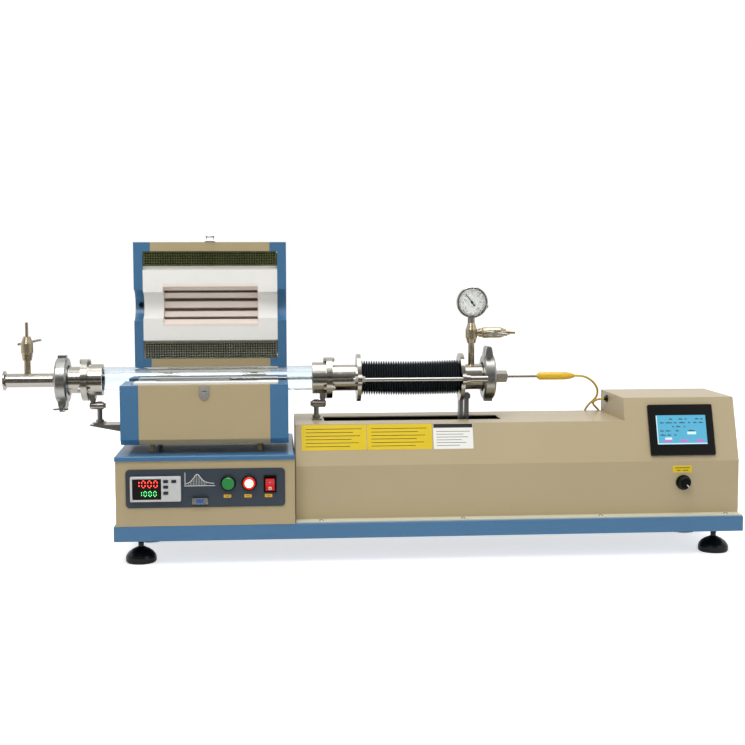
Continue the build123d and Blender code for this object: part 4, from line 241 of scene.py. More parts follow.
def surface(
    name, colour, rough, metal=0.0, grain=EVEN_GRAIN, depth=0.05, mottle=0.05, spread=6.0, coat=0.0, shine=0.5
):
    """A finish with a slow change of colour, a fine grain in its height and a slight change of gloss."""
    material = bpy.data.materials.new(name)
    material.use_nodes = True
    nodes, links = material.node_tree.nodes, material.node_tree.links
    shader = nodes["Principled BSDF"]
    shader.inputs["Metallic"].default_value = metal
    shader.inputs["Coat Weight"].default_value = coat
    shader.inputs["Specular IOR Level"].default_value = shine
    where = nodes.new("ShaderNodeTexCoord")
    slow = nodes.new("ShaderNodeTexNoise")
    slow.inputs["Scale"].default_value = spread
    slow.inputs["Detail"].default_value = 4
    links.new(where.outputs["Object"], slow.inputs["Vector"])
    tint = nodes.new("ShaderNodeMix")
    tint.data_type = "RGBA"
    tint.inputs["A"].default_value = shade(colour, 1 - mottle)
    tint.inputs["B"].default_value = shade(colour, 1 + mottle)
    links.new(slow.outputs["Fac"], tint.inputs["Factor"])
    links.new(tint.outputs["Result"], shader.inputs["Base Color"])
    stretch = nodes.new("ShaderNodeMapping")
    stretch.inputs["Scale"].default_value = grain
    links.new(where.outputs["Object"], stretch.inputs["Vector"])
    fine = nodes.new("ShaderNodeTexNoise")
    fine.inputs["Scale"].default_value = 1.0
    fine.inputs["Detail"].default_value = 3
    links.new(stretch.outputs["Vector"], fine.inputs["Vector"])
    bump = nodes.new("ShaderNodeBump")
    bump.inputs["Strength"].default_value = depth
    bump.inputs["Distance"].default_value = GRAIN_HEIGHT
    links.new(fine.outputs["Fac"], bump.inputs["Height"])
    links.new(bump.outputs["Normal"], shader.inputs["Normal"])
    gloss = nodes.new("ShaderNodeMapRange")
    gloss.inputs["To Min"].default_value = rough * (1 - GLOSS_CHANGE)
    gloss.inputs["To Max"].default_value = rough * (1 + GLOSS_CHANGE)
    links.new(fine.outputs["Fac"], gloss.inputs["Value"])
    links.new(gloss.outputs[0], shader.inputs["Roughness"])
    return material


def glowing(name, colour, strength, dark=(0, 0, 0, 1)):
    """A finish that gives off light."""
    material = surface(name, dark, 0.3)
    shader = material.node_tree.nodes["Principled BSDF"]
    shader.inputs["Emission Color"].default_value = colour
    shader.inputs["Emission Strength"].default_value = strength
    return material


def clear(name, colour, rough, index):
    """Glass or quartz."""
    material = surface(name, colour, rough, depth=0.0, mottle=0.01)
    shader = material.node_tree.nodes["Principled BSDF"]
    shader.inputs["Transmission Weight"].default_value = 1.0
    shader.inputs["IOR"].default_value = index
    return material


STAIN_EDGE = 46.5 * MM
STAIN_FULL = 44.0 * MM
STAIN_MARGIN = 1.0 * MM
FIBRE_GRAIN = (420, 420, 420)


def fibre(name, axis_y, axis_z, near, far):
    """White fibre board, stained cream inside the chamber that runs from near to far along the tube."""
    material = surface(name, srgb(240, 239, 234), 0.95, grain=FIBRE_GRAIN, depth=0.5, mottle=0.03, spread=30)
    nodes, links = material.node_tree.nodes, material.node_tree.links
    shader = nodes["Principled BSDF"]
    where = nodes.new("ShaderNodeTexCoord")
    split = nodes.new("ShaderNodeSeparateXYZ")
    links.new(where.outputs["Object"], split.inputs[0])
    axis = nodes.new("ShaderNodeCombineXYZ")
    axis.inputs["Y"].default_value = axis_y
    axis.inputs["Z"].default_value = axis_z
    links.new(split.outputs["X"], axis.inputs["X"])
    away = nodes.new("ShaderNodeVectorMath")
    away.operation = "DISTANCE"
    links.new(where.outputs["Object"], away.inputs[0])
    links.new(axis.outputs[0], away.inputs[1])
    inside = nodes.new("ShaderNodeMapRange")
    inside.inputs["From Min"].default_value = STAIN_EDGE
    inside.inputs["From Max"].default_value = STAIN_FULL
    links.new(away.outputs["Value"], inside.inputs["Value"])
    middle = nodes.new("ShaderNodeMath")
    middle.operation = "COMPARE"
    middle.inputs[1].default_value = (near + far) / 2
    middle.inputs[2].default_value = (far - near) / 2 + STAIN_MARGIN
    links.new(split.outputs["X"], middle.inputs[0])
    both = nodes.new("ShaderNodeMath")
    both.operation = "MULTIPLY"
    links.new(inside.outputs[0], both.inputs[0])
    links.new(middle.outputs[0], both.inputs[1])
    stain = nodes.new("ShaderNodeMix")
    stain.data_type = "RGBA"
    stain.inputs["B"].default_value = srgb(240, 228, 218)
    links.new(both.outputs[0], stain.inputs["Factor"])
    links.new(shader.inputs["Base Color"].links[0].from_socket, stain.inputs["A"])
    links.new(stain.outputs["Result"], shader.inputs["Base Color"])
    return material


BAND_MARGIN = 0.2 * MM


def banded(material, axis, low, high, colour):
    """Gives a finish another colour between two levels along one axis."""
    nodes, links = material.node_tree.nodes, material.node_tree.links
    shader = nodes["Principled BSDF"]
    where = nodes.new("ShaderNodeTexCoord")
    split = nodes.new("ShaderNodeSeparateXYZ")
    links.new(where.outputs["Object"], split.inputs[0])
    band = nodes.new("ShaderNodeMath")
    band.operation = "COMPARE"
    links.new(split.outputs[axis], band.inputs[0])
    band.inputs[1].default_value = (low + high) / 2
    band.inputs[2].default_value = (high - low) / 2 + BAND_MARGIN
    change = nodes.new("ShaderNodeMix")
    change.data_type = "RGBA"
    change.inputs["B"].default_value = colour
    links.new(band.outputs[0], change.inputs["Factor"])
    links.new(shader.inputs["Base Color"].links[0].from_socket, change.inputs["A"])
    links.new(change.outputs["Result"], shader.inputs["Base Color"])


chamber_low, chamber_high = corners_of("lower_heater_coils")
LID_AXIS_Y = HINGE.y
LID_AXIS_Z = HINGE.z + (HINGE.y - AXIS_Y)
housing_low = corners_of("feed_housing")[0]
HOUSING = surface("paint_housing", srgb(180, 164, 130), 0.42, depth=0.12, coat=0.1)
# Painted highlight: the flat flange at the housing's foot is painted paler, for the white light it catches
# from above.
FLANGE_THICK = 2.2 * MM
banded(HOUSING, "Z", housing_low.z, housing_low.z + FLANGE_THICK, srgb(214, 212, 190))
INNER_BACK = place(0, 249.5, 0).y
# Painted shade: a near-black strip is painted from 6 to 1.5 mm in front of the housing's inner back wall.
banded(HOUSING, "Y", INNER_BACK - 6 * MM, INNER_BACK - 1.5 * MM, srgb(22, 22, 20))
SHEET_GRAIN = (60, 60, 1200)
DULL_GRAIN = (60, 60, 900)
TURNED = (1600, 60, 60)
PAINTS = {
    "blue": surface("paint_blue", srgb(62, 112, 152), 0.38, depth=0.10, coat=0.2),
    "beige": surface("paint_beige", srgb(176, 159, 122), 0.45, depth=0.12),
    "fascia": surface("overlay_slate", srgb(52, 62, 72), 0.42, depth=0.05),
    "black": surface("plastic_black", srgb(10, 10, 11), 0.30, shine=0.22, depth=0.05),
    "foot": surface("foot_black", srgb(6, 6, 7), 0.22, depth=0.05, shine=0.3),
    "meter": surface("meter_silver", srgb(196, 198, 196), 0.40, depth=0.05),
    "key": surface("key_dark", srgb(34, 44, 60), 0.35, depth=0.05),
    "green": surface("cap_green", srgb(38, 136, 66), 0.32, depth=0.04, coat=0.3),
    "steel": surface("steel_turned", srgb(176, 172, 164), 0.20, 1.0, grain=TURNED, depth=0.10, mottle=0.04),
    "sheet": surface("steel_sheet", srgb(160, 156, 148), 0.30, 1.0, grain=SHEET_GRAIN, depth=0.10),
    "plated": surface("plated_bright", srgb(188, 186, 180), 0.14, 1.0, depth=0.03),
    "cast": surface("aluminium_cast", srgb(166, 166, 162), 0.30, 1.0, depth=0.30),
    # Painted reflection: the stainless valve and tee are given a tan colour that stands for what they
    # reflect.
    "tan_steel": surface(
        "steel_painted_tan", srgb(188, 174, 148), 0.28, 1.0, grain=DULL_GRAIN, depth=0.12, mottle=0.15, spread=60
    ),
    "block": surface("aluminium_milled", srgb(150, 152, 154), 0.38, 1.0, depth=0.12),
    "quartz": clear("quartz_clear", (0.80, 0.86, 0.90, 1), 0.03, 1.46),
    "lens": clear("gauge_glass", (0.98, 0.99, 0.99, 1), 0.02, 1.2),
    "yellow": surface("handle_yellow", srgb(222, 180, 34), 0.36, depth=0.05, coat=0.3),
    "cable": surface("cable_yellow", srgb(200, 172, 44), 0.50, depth=0.20),
    "bellows": surface("bellows_dark", srgb(44, 50, 54), 0.34, depth=0.05, coat=0.15, shine=0.35),
    "coil": surface("coil_brown", srgb(70, 40, 32), 0.60, 0.3, depth=0.20, mottle=0.3, spread=300),
    "housing": HOUSING,
    "perforated_dull": surface(
        "sheet_punched_dull", srgb(150, 150, 132), 0.26, 1.0, depth=0.12, mottle=0.35, spread=30
    ),
    # Painted shade: a dark sheet put behind the punched sheets to darken their holes.
    "shade_backing": surface("shade_backing_dark", srgb(30, 32, 20), 0.9, depth=0.4),
    "white": surface("paint_white", srgb(236, 236, 230), 0.45, depth=0.03),
    "ink": surface("ink_black", srgb(26, 26, 28), 0.50, depth=0.02),
    "tag": surface("tag_amber", srgb(232, 176, 50), 0.42, depth=0.04),
    "label_yellow": surface("label_yellow", srgb(222, 192, 24), 0.40, depth=0.03),
    "glass_dark": surface("window_dark", srgb(28, 22, 24), 0.12, depth=0.01, coat=0.5),
    "digit_red": glowing("digit_red", srgb(255, 70, 60), 3.0),
    "digit_green": glowing("digit_green", srgb(90, 235, 130), 2.4),
    "red_lit": glowing("cap_red_lit", srgb(255, 40, 30), 0.45, srgb(190, 24, 20)),
    "rocker": glowing("rocker_red_lit", srgb(255, 30, 30), 0.22, srgb(170, 12, 16)),
    "warm_lit": glowing("cap_warm_lit", srgb(255, 226, 190), 1.6, srgb(240, 200, 170)),
    "screen": glowing("screen_cyan", srgb(92, 186, 220), 0.85, srgb(20, 60, 80)),
    "screen_pale": glowing("screen_pale", srgb(214, 238, 240), 0.80, srgb(120, 140, 140)),
    "screen_ink": glowing("screen_ink", srgb(40, 76, 92), 0.5, srgb(20, 30, 36)),
    "screen_lilac": glowing("screen_lilac", srgb(190, 130, 214), 0.8, srgb(90, 60, 100)),
    "port_blue": surface("port_blue", srgb(50, 92, 160), 0.40, depth=0.04),
    "port_silver": surface("port_silver", srgb(198, 198, 196), 0.28, 1.0, depth=0.05),
    # Painted sheen: a brighter greenish-yellow copy of the punched sheet, used on the lid's top sheet; the
    # other sheets use the duller copy.
    "perforated": surface(
        "sheet_perforated_painted_sheen", srgb(160, 170, 112), 0.24, 1.0, depth=0.12, mottle=0.40, spread=26
    ),
    "lid_fibre": fibre("fibre_lid", LID_AXIS_Y, LID_AXIS_Z, chamber_low.x, chamber_high.x),
    "lower_fibre": fibre("fibre_lower", AXIS_Y, AXIS_Z, chamber_low.x, chamber_high.x),
}
FINISHES = {
    "blue": "base_tray case_top_plate lower_end_caps lid_end_caps",
    "beige": "control_case furnace_lower_case lid_case",
    "housing": "feed_housing",
    "red_lit": "red_button",
    "rocker": "power_rocker",
    "fascia": "fascia_plate",
    "foot": "levelling_feet",
    "meter": "panel_meter",
    "key": "key_set key_down key_up key_shift",
    "black": "panel_fittings touch_screen speed_knob cable_fittings gauge_pointer stepper_motor",
    "green": "green_button",
    "lower_fibre": "lower_insulation",
    "lid_fibre": "lid_insulation",
    "coil": "lower_heater_coils lid_heater_coils",
    "perforated": "lower_heat_shields lid_heat_shields",
    "plated": "base_fixings lid_fixings latch_lever latch_bail clamp_wing_nut flange_bolts "
    "left_valve_handle right_valve_handle guide_rods",
    "quartz": "quartz_tube",
    "steel": "tube_end_sleeves left_flange_body vacuum_nipple fixed_spool carriage_spool end_flange "
    "gauge_case probe_rod lead_screw",
    "cast": "left_clamp right_clamp",
    # Painted reflection: the valve and tee are stainless; their tan is painted reflected colour.
    "tan_steel": "left_needle_valve gauge_tee",
    "sheet": "tube_supports",
    "bellows": "bellows",
    "lens": "gauge_lens",
    "yellow": "cable_handle",
    "block": "carriage_block drive_frame",
    "cable": "signal_cable",
}


def finish_cad_nodes():
    """Gives each carried-over CAD node its finish."""
    for paint, names in FINISHES.items():
        for name in names.split():
            for slot in frame["nodes"][name].material_slots:
                slot.link = "OBJECT"
                slot.material = PAINTS[paint]


# ---------------------------------------------------------------- mesh tools
def add_piece(name, vertices, faces, material, body, smooth=False):
    """A mesh piece that rides on a body."""
    mesh = bpy.data.meshes.new(name)
    mesh.from_pydata([tuple(v) for v in vertices], [], faces)
    mesh.materials.append(material)
    work = bmesh.new()
    work.from_mesh(mesh)
    bmesh.ops.recalc_face_normals(work, faces=work.faces)
    for face in work.faces:
        face.smooth = smooth
    work.to_mesh(mesh)
    work.free()
    piece = bpy.data.objects.new(name, mesh)
    show(piece)
    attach(piece, body)
    return piece


def add_lathe(name, outline, origin, axis, material, body, steps):
    """A closed turned piece; the outline is in (along the axis, radius), in millimetres."""
    axis = Vector(axis).normalized()
    across = axis.orthogonal().normalized()
    other = axis.cross(across)
    vertices, faces = [], []
    count = len(outline)
    for step in range(steps):
        angle = 2 * pi * step / steps
        out = across * cos(angle) + other * sin(angle)
        vertices += [Vector(origin) + axis * (along * MM) + out * (radius * MM) for along, radius in outline]
    for step in range(steps):
        here, there = step * count, (step + 1) % steps * count
        for i in range(count):
            j = (i + 1) % count
            faces.append((here + i, here + j, there + j, there + i))
    piece = add_piece(name, vertices, faces, material, body, smooth=True)
    split_edges(piece)
    return piece


CRISP_EDGE = radians(35)


def split_edges(piece):
    """Keeps the crisp edges of a smooth-shaded piece."""
    work = bmesh.new()
    work.from_mesh(piece.data)
    for edge in work.edges:
        if len(edge.link_faces) == 2 and edge.calc_face_angle(0) > CRISP_EDGE:
            edge.smooth = False
    work.to_mesh(piece.data)
    work.free()


ROUND_STEPS = 4


def rounded_outline(width, height, radius):
    """A rectangle with rounded corners about the origin, in millimetres."""
    steps = ROUND_STEPS
    points = []
    for quarter, (side, level) in enumerate(((1, 1), (-1, 1), (-1, -1), (1, -1))):
        for step in range(steps + 1):
            angle = pi / 2 * (quarter + step / steps)
            x = side * (width / 2 - radius) + radius * cos(angle)
            y = level * (height / 2 - radius) + radius * sin(angle)
            points.append((x, y))
    return points


def add_plate(name, outline, origin, right, up, thick, material, body, inset=0.3):
    """A flat plate of any outline, standing off its seat by its thickness, with a bevelled front edge."""
    right, up = Vector(right).normalized(), Vector(up).normalized()
    out = right.cross(up)
    origin = Vector(origin)
    middle_x = sum(p[0] for p in outline) / len(outline)
    middle_y = sum(p[1] for p in outline) / len(outline)
    span = max(hypot(x - middle_x, y - middle_y) for x, y in outline)
    shrink = 1 - inset / span

    def layer(scale, rise):
        return [
            origin
            + right * ((middle_x + (x - middle_x) * scale) * MM)
            + up * ((middle_y + (y - middle_y) * scale) * MM)
            + out * (rise * MM)
            for x, y in outline
        ]

    count = len(outline)
    vertices = layer(1, 0) + layer(1, thick - min(inset, thick / 2)) + layer(shrink, thick)
    faces = [tuple(range(count)), tuple(range(2 * count, 3 * count))]
    for level in (0, count):
        for i in range(count):
            j = (i + 1) % count
            faces.append((level + i, level + j, level + count + j, level + count + i))
    return add_piece(name, vertices, faces, material, body)


def add_bars(name, bars, origin, right, up, thick, material, body):
    """Many flat strokes as one piece; each is (x0, y0, x1, y1, width) in millimetres."""
    right, up = Vector(right).normalized(), Vector(up).normalized()
    out = right.cross(up)
    vertices, faces = [], []
    for x0, y0, x1, y1, width in bars:
        along = Vector((x1 - x0, y1 - y0))
        side = Vector((-along.y, along.x)).normalized() * width / 2
        corners = [
            (x0 + side.x, y0 + side.y),
            (x0 - side.x, y0 - side.y),
            (x1 - side.x, y1 - side.y),
            (x1 + side.x, y1 + side.y),
        ]
        start = len(vertices)
        for rise in (0, thick):
            level = Vector(origin) + out * (rise * MM)
            vertices += [level + right * (x * MM) + up * (y * MM) for x, y in corners]
        faces += [(start + 3, start + 2, start + 1, start), tuple(start + 4 + i for i in range(4))]
        faces += [(start + i, start + (i + 1) % 4, start + 4 + (i + 1) % 4, start + 4 + i) for i in range(4)]
    return add_piece(name, vertices, faces, material, body)


def add_wires(name, lines, radius, material, body, rings):
    """Round wires along lists of points, kept as one curve."""
    data = bpy.data.curves.new(name, "CURVE")
    data.dimensions = "3D"
    data.bevel_depth, data.bevel_resolution = radius * MM, rings
    data.use_fill_caps = True
    for points in lines:
        spline = data.splines.new("POLY")
        spline.points.add(len(points) - 1)
        for point, here in zip(spline.points, points):
            point.co = (*here, 1)
        spline.use_smooth = True
    data.materials.append(material)
    piece = bpy.data.objects.new(name, data)
    show(piece)
    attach(piece, body)
    return piece


# ---------------------------------------------------------------- the cable, before the rest
CABLE_ROUTE = [
    (0, 0, 0),
    (18, 0, 0),
    (35, 8, -8),
    (49, 22, -19),
    (60, 40, -33),
    (64, 60, -48),
    (61, 79, -60),
    (56, 96, -69),
    (50, 109, -83),
    (46, 115, -100),
    (48, 118, -118),
    (58, 119, -131),
    (73, 119, -133),
    (85, 118, -122),
    (89, 115, -105),
    (84, 109, -90),
    (74, 100, -79),
    (63, 85, -71),
    (56, 67, -62),
    (64.9, 48.5, -53.1),
    (86.4, 48.5, -53.1),
]
CABLE_DIAMETER = 4.5
SPLINE_STEPS = 10


def cable_line(route):
    """Close points along the smooth spline that the route's points pull into shape."""
    data = bpy.data.curves.new("cable_line", "CURVE")
    data.dimensions = "3D"
    data.resolution_u = SPLINE_STEPS
    spline = data.splines.new("NURBS")
    spline.points.add(len(route) - 1)
    for point, here in zip(spline.points, route):
        point.co = (*here, 1)
    spline.order_u = 3
    spline.use_endpoint_u = True
    line = bpy.data.objects.new("cable_line", data)
    mesh = bpy.data.meshes.new_from_object(line)
    points = [vertex.co.copy() for vertex in mesh.vertices]
    bpy.data.objects.remove(line)
    return points


TUBE_SIDES = 12


def add_tube(name, points, radius, material):
    """A closed round tube along points, its rings carried along without twist; it rides on nothing yet."""
    sides = TUBE_SIDES
    vertices, faces = [], []
    side = (points[1] - points[0]).orthogonal().normalized()
    for i, point in enumerate(points):
        ahead = points[min(i + 1, len(points) - 1)] - points[max(i - 1, 0)]
        along = ahead.normalized()
        side = (side - along * side.dot(along)).normalized()
        other = along.cross(side)
        for step in range(sides):
            angle = 2 * pi * step / sides
            vertices.append(point + side * (radius * cos(angle)) + other * (radius * sin(angle)))
    for i in range(len(points) - 1):
        for step in range(sides):
            turn = (step + 1) % sides
            faces.append((i * sides + step, i * sides + turn, (i + 1) * sides + turn, (i + 1) * sides + step))
    faces.append(tuple(reversed(range(sides))))
    faces.append(tuple((len(points) - 1) * sides + step for step in range(sides)))
    mesh = bpy.data.meshes.new(name)
    mesh.from_pydata([tuple(v) for v in vertices], [], faces)
    mesh.materials.append(material)
    for face in mesh.polygons:
        face.use_smooth = len(face.vertices) == 4
    tube = bpy.data.objects.new(name, mesh)
    show(tube)
    return tube


def add_cable():
    """The free lead from the probe's handle over the housing's back edge to the grommet."""
    handle_end = Vector((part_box("cable_handle")[1].x, AXIS_Y, AXIS_Z))
    points = cable_line([handle_end + Vector(step) * MM for step in CABLE_ROUTE])
    cable = add_tube("cable", points, CABLE_DIAMETER / 2 * MM, PAINTS["cable"])
    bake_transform(cable)
    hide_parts("signal_cable")


PLEATS = 40
PLEAT_STEPS = 8
PLEAT_DEPTH = 7.0
PLEAT_CREST = 1.6
PLEAT_ROUND = 0.7
BELLOWS_WALL = 1.5
BELLOWS_END = 0.6
BELLOWS_SAG = 1.8


def add_bellows():
    """Dark pleats between the two plates, sagging a little at the middle."""
    low, high = corners_of("bellows")
    outer = (high.z - low.z) / 2 / MM
    root = outer - PLEAT_DEPTH
    crest = outer + PLEAT_CREST
    length = (high.x - low.x) / MM
    outline = [(0.0, root - BELLOWS_WALL), (0.0, root)]
    for pleat in range(PLEATS):
        for step in range(PLEAT_STEPS):
            share = step / PLEAT_STEPS
            wave = (1 - cos(2 * pi * share)) / 2
            along = BELLOWS_END + (length - 2 * BELLOWS_END) * (pleat + share) / PLEATS
            outline.append((along, root + (crest - root) * wave**PLEAT_ROUND))
    outline += [(length, root), (length, root - BELLOWS_WALL)]
    start = (low.x, AXIS_Y, AXIS_Z)
    piece = add_lathe("bellows_pleats", outline, start, RIGHT, PAINTS["bellows"], "bench", 72)
    for vertex in piece.data.vertices:
        vertex.co.z -= BELLOWS_SAG * MM * sin(pi * (vertex.co.x - low.x) / (high.x - low.x))
    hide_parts("bellows")
    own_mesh(piece)


# ---------------------------------------------------------------- furnace inside
COIL_ANGLES = (-46.0, -15.5, 15.5, 46.0)
COIL_TURNS = 58
TURN_STEPS = 12
COIL_RADIUS = 2.6
COIL_BAR = 3.4
WIRE_RADIUS = 0.75
SHEET_NARROW = 30.4 * MM
SHEET_WIDE = 35.4 * MM
SHEET_EDGE = 11.5
SHEET_THICK = 0.8
HOLE_PITCH = 5.2
HOLE_RADIUS = 2.0
HOLE_SIDES = 8
CELL_CORNERS = ((1, 1), (0, 1), (0, 0), (1, 0))
# Painted shade: the next two set how deep and thick the dark sheet behind each punched sheet lies.
SHADE_BACKING_DEEP = 4 * MM
SHADE_BACKING_THICK = 0.6
BUSH_SEAT = 33.2 * MM
BUSH_INSET = 12 * MM


def add_coils(name, node, centre_y, centre_z, turned, body):
    """Four coils of resistance wire along the grooves of one half."""
    low, high = corners_of(node)
    wide = high.z - low.z if turned else high.y - low.y
    circle = (wide / 2 - COIL_BAR * MM) / sin(radians(max(COIL_ANGLES)))
    count = COIL_TURNS * TURN_STEPS
    span = high.x - low.x - 2 * MM
    lines = []
    for angle in COIL_ANGLES:
        across, deep = circle * sin(radians(angle)), circle * cos(radians(angle))
        y, z = (centre_y + deep, centre_z - across) if turned else (centre_y + across, centre_z - deep)
        line = []
        for step in range(count + 1):
            turn = 2 * pi * step / TURN_STEPS
            x = low.x + MM + span * step / count
            line.append(Vector((x, y + COIL_RADIUS * MM * cos(turn), z + COIL_RADIUS * MM * sin(turn))))
        lines.append(line)
    piece = add_wires(name, lines, WIRE_RADIUS, PAINTS["coil"], body, rings=1)
    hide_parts(node)


def add_mesh_sheet(name, low, high, up, paint, body):
    """A punched sheet between two corners, with round holes in rows and its long edges turned down."""
    pitch, hole, sides, thick, edge = HOLE_PITCH, HOLE_RADIUS, HOLE_SIDES, SHEET_THICK, SHEET_EDGE
    across = up.cross(RIGHT)
    span = high - low
    length, width = span.dot(RIGHT) / MM, abs(span.dot(across)) / MM
    start = Vector(low) if span.dot(across) > 0 else Vector(low) + across * span.dot(across)
    columns, rows = int((length - 4) / pitch), int((width - 3) / pitch)
    edge_x, edge_y = (length - columns * pitch) / 2, (width - rows * pitch) / 2
    vertices, faces, index = [], [], {}

    def corner(x, y, z):
        key = (round(x, 3), round(y, 3), round(z, 3))
        if key not in index:
            index[key] = len(vertices)
            vertices.append(start + RIGHT * (x * MM) + across * (y * MM) + up * (z * MM))
        return index[key]

    def add_face(*points):
        faces.append(tuple(corner(*point) for point in points))

    def on_hole(column, row, step):
        angle = 2 * pi * (step + 0.5) / sides
        x = edge_x + column * pitch + pitch / 2 + hole * cos(angle)
        y = edge_y + row * pitch + pitch / 2 + hole * sin(angle)
        return x, y

    for level in (0.0, -thick):
        for column in range(columns):
            for row in range(rows):
                x0, y0 = edge_x + column * pitch, edge_y + row * pitch
                rim = [corner(*on_hole(column, row, step), level) for step in range(sides)]
                box = [corner(x0 + fx * pitch, y0 + fy * pitch, level) for fx, fy in CELL_CORNERS]
                for quarter in range(4):
                    inner = [rim[(2 * quarter + k) % sides] for k in (0, 1, 2)]
                    faces.append((box[quarter], inner[0], inner[1]))
                    faces.append((box[quarter], inner[1], box[(quarter + 1) % 4]))
                    faces.append((box[(quarter + 1) % 4], inner[1], inner[2]))
        border = [
            (0, 0, length, edge_y),
            (0, width - edge_y, length, width),
            (0, edge_y, edge_x, width - edge_y),
            (length - edge_x, edge_y, length, width - edge_y),
        ]
        for x0, y0, x1, y1 in border:
            add_face((x0, y0, level), (x1, y0, level), (x1, y1, level), (x0, y1, level))
    for column in range(columns):
        for row in range(rows):
            for step in range(sides):
                a, b = on_hole(column, row, step), on_hole(column, row, step + 1)
                add_face((*a, 0.0), (*b, 0.0), (*b, -thick), (*a, -thick))
    for y in (0.0, width):
        inner = thick if y == 0 else width - thick
        add_face((0, y, 0), (length, y, 0), (length, y, -edge), (0, y, -edge))
        add_face((0, inner, -thick), (length, inner, -thick), (length, inner, -edge), (0, inner, -edge))
        add_face((0, y, -edge), (length, y, -edge), (length, inner, -edge), (0, inner, -edge))
    return add_piece(name, vertices, faces, PAINTS[paint], body)


def add_backing(name, middle, right, up, span, body):
    """A dark sheet behind a punched sheet, painted shade that darkens its holes."""
    outline = rounded_outline(abs(span.dot(right)) / MM - 3, abs(span.dot(up)) / MM - 3, 1.0)
    add_plate(name, outline, middle, right, up, SHADE_BACKING_THICK, PAINTS["shade_backing"], body)


def add_shields():
    """The punched heat shields beside the insulation, two in each half."""
    low, high = corners_of("lower_heat_shields")
    for name, near, far in (("front", low.y, low.y + SHEET_NARROW), ("back", high.y - SHEET_WIDE, high.y)):
        a, b = Vector((low.x, near, high.z)), Vector((high.x, far, high.z))
        piece = add_mesh_sheet(f"lower_sheet_{name}", a, b, UP, "perforated_dull", "bench")
        add_backing(f"lower_backing_{name}", (a + b) / 2 - UP * SHADE_BACKING_DEEP, RIGHT, BACK, b - a, "bench")
        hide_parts("lower_heat_shields")
    low, high = corners_of("lid_heat_shields")
    # Painted sheen: the top sheet takes the brighter greenish-yellow copy of the punched-sheet finish.
    for name, near, far, paint in (
        ("top", high.z - SHEET_NARROW, high.z, "perforated"),
        ("bottom", low.z, low.z + SHEET_WIDE, "perforated_dull"),
    ):
        a, b = Vector((low.x, low.y, near)), Vector((high.x, low.y, far))
        piece = add_mesh_sheet(f"lid_sheet_{name}", a, b, FRONT, paint, "lid")
        add_backing(f"lid_backing_{name}", (a + b) / 2 + BACK * SHADE_BACKING_DEEP, RIGHT, UP, b - a, "lid")
        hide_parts("lid_heat_shields")


def add_sensor():
    """The dark bush in the notch of the lid's left end cap."""
    at = Vector((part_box("lid_end_caps")[0][0] + BUSH_INSET, HINGE.y + BUSH_SEAT, LID_AXIS_Z))
    outline = [(-0.6, 0.0), (-0.6, 5.2), (1.2, 5.6), (2.4, 5.0), (5.0, 4.4), (6.0, 3.2), (6.0, 0.0)]
    add_lathe("sensor_bush", outline, at, FRONT, PAINTS["black"], "lid", 28)


# ---------------------------------------------------------------- panel
# Places on the panel are in millimetres, x from the datum and z from the floor.
SEGMENTS = {
    "0": "abcdef",
    "1": "bc",
}
SEGMENT_TRIM = 0.12
METER_MIDDLE = (61, 153.5)
METER_FACE = 1.5
WINDOW = (54.4, 39.4)
WINDOW_THICK = 0.7
DISPLAYS = (
    ("digits_upper", (40.5, 163.5, 12.5, 11.4, 1.7), "digit_red"),
    ("digits_lower", (46.5, 145.0, 9.5, 9.2, 1.4), "digit_green"),
)
GRAPH_AXES = [(133, 157, 133, 184, 0.9), (132, 158, 190, 158, 0.9)]
GRAPH_LEFT = 134
GRAPH_STEP = 3
GRAPH_POINTS = 19
GRAPH_PEAK = 156
GRAPH_HATCHED = slice(2, 14)
TAG_PLACES = (213.4, 252.7, 292.0)
TAG_LEVEL = 137.2
TAG_THICK = 0.3
PORT_MIDDLE = (161.5, 129.5)
PORT_SHELL = 0.8
PORT_INSERT = 0.7
PORT_MOUTH = [(153.6, 133.4), (169.4, 133.4), (168.0, 125.6), (155.0, 125.6)]
PORT_ROWS = ((155.9, 130.9, 5), (157.3, 128.1, 4))
PIN_PITCH = 2.8
PIN_WIDTH = 0.9
GLOW_OUTLINE = [(-0.4, 0.0), (-0.4, 8.2), (0.1, 8.2), (0.5, 7.4), (0.7, 4.0), (0.75, 0.0)]
ROCKER_ON = [(0, 4.2, 0, 8.4, 1.3)]
ROCKER_OFF = [
    (-2.2, -4.2, 2.2, -4.2, 1.0),
    (-2.2, -8.2, 2.2, -8.2, 1.0),
    (-2.2, -4.2, -2.2, -8.2, 1.0),
    (2.2, -4.2, 2.2, -8.2, 1.0),
]


def moved(outline, x, y):
    """An outline at another place in its plane."""
    return [(px + x, py + y) for px, py in outline]


def panel_seat(face_y):
    """The origin of the panel's places, on a face at a given depth."""
    return Vector((DATUM_X, face_y, 0))


def digit_bars(text, left, middle, height, pitch, width):
    """The lit segments of a row of figures."""
    wide, half, trim = height * 0.5, height / 2, SEGMENT_TRIM * height
    bars = []
    for place_in_row, figure in enumerate(text):
        x = left + place_in_row * pitch
        lines = {
            "a": (x, middle + half, x + wide, middle + half),
            "b": (x + wide, middle + half, x + wide, middle),
            "c": (x + wide, middle, x + wide, middle - half),
            "d": (x, middle - half, x + wide, middle - half),
            "e": (x, middle, x, middle - half),
            "f": (x, middle + half, x, middle),
        }
        for segment in SEGMENTS[figure]:
            x0, y0, x1, y1 = lines[segment]
            if x0 == x1:
                y0, y1 = y0 - trim, y1 + trim
            else:
                x0, x1 = x0 + trim, x1 - trim
            bars.append((x0, y0, x1, y1, width))
    return bars


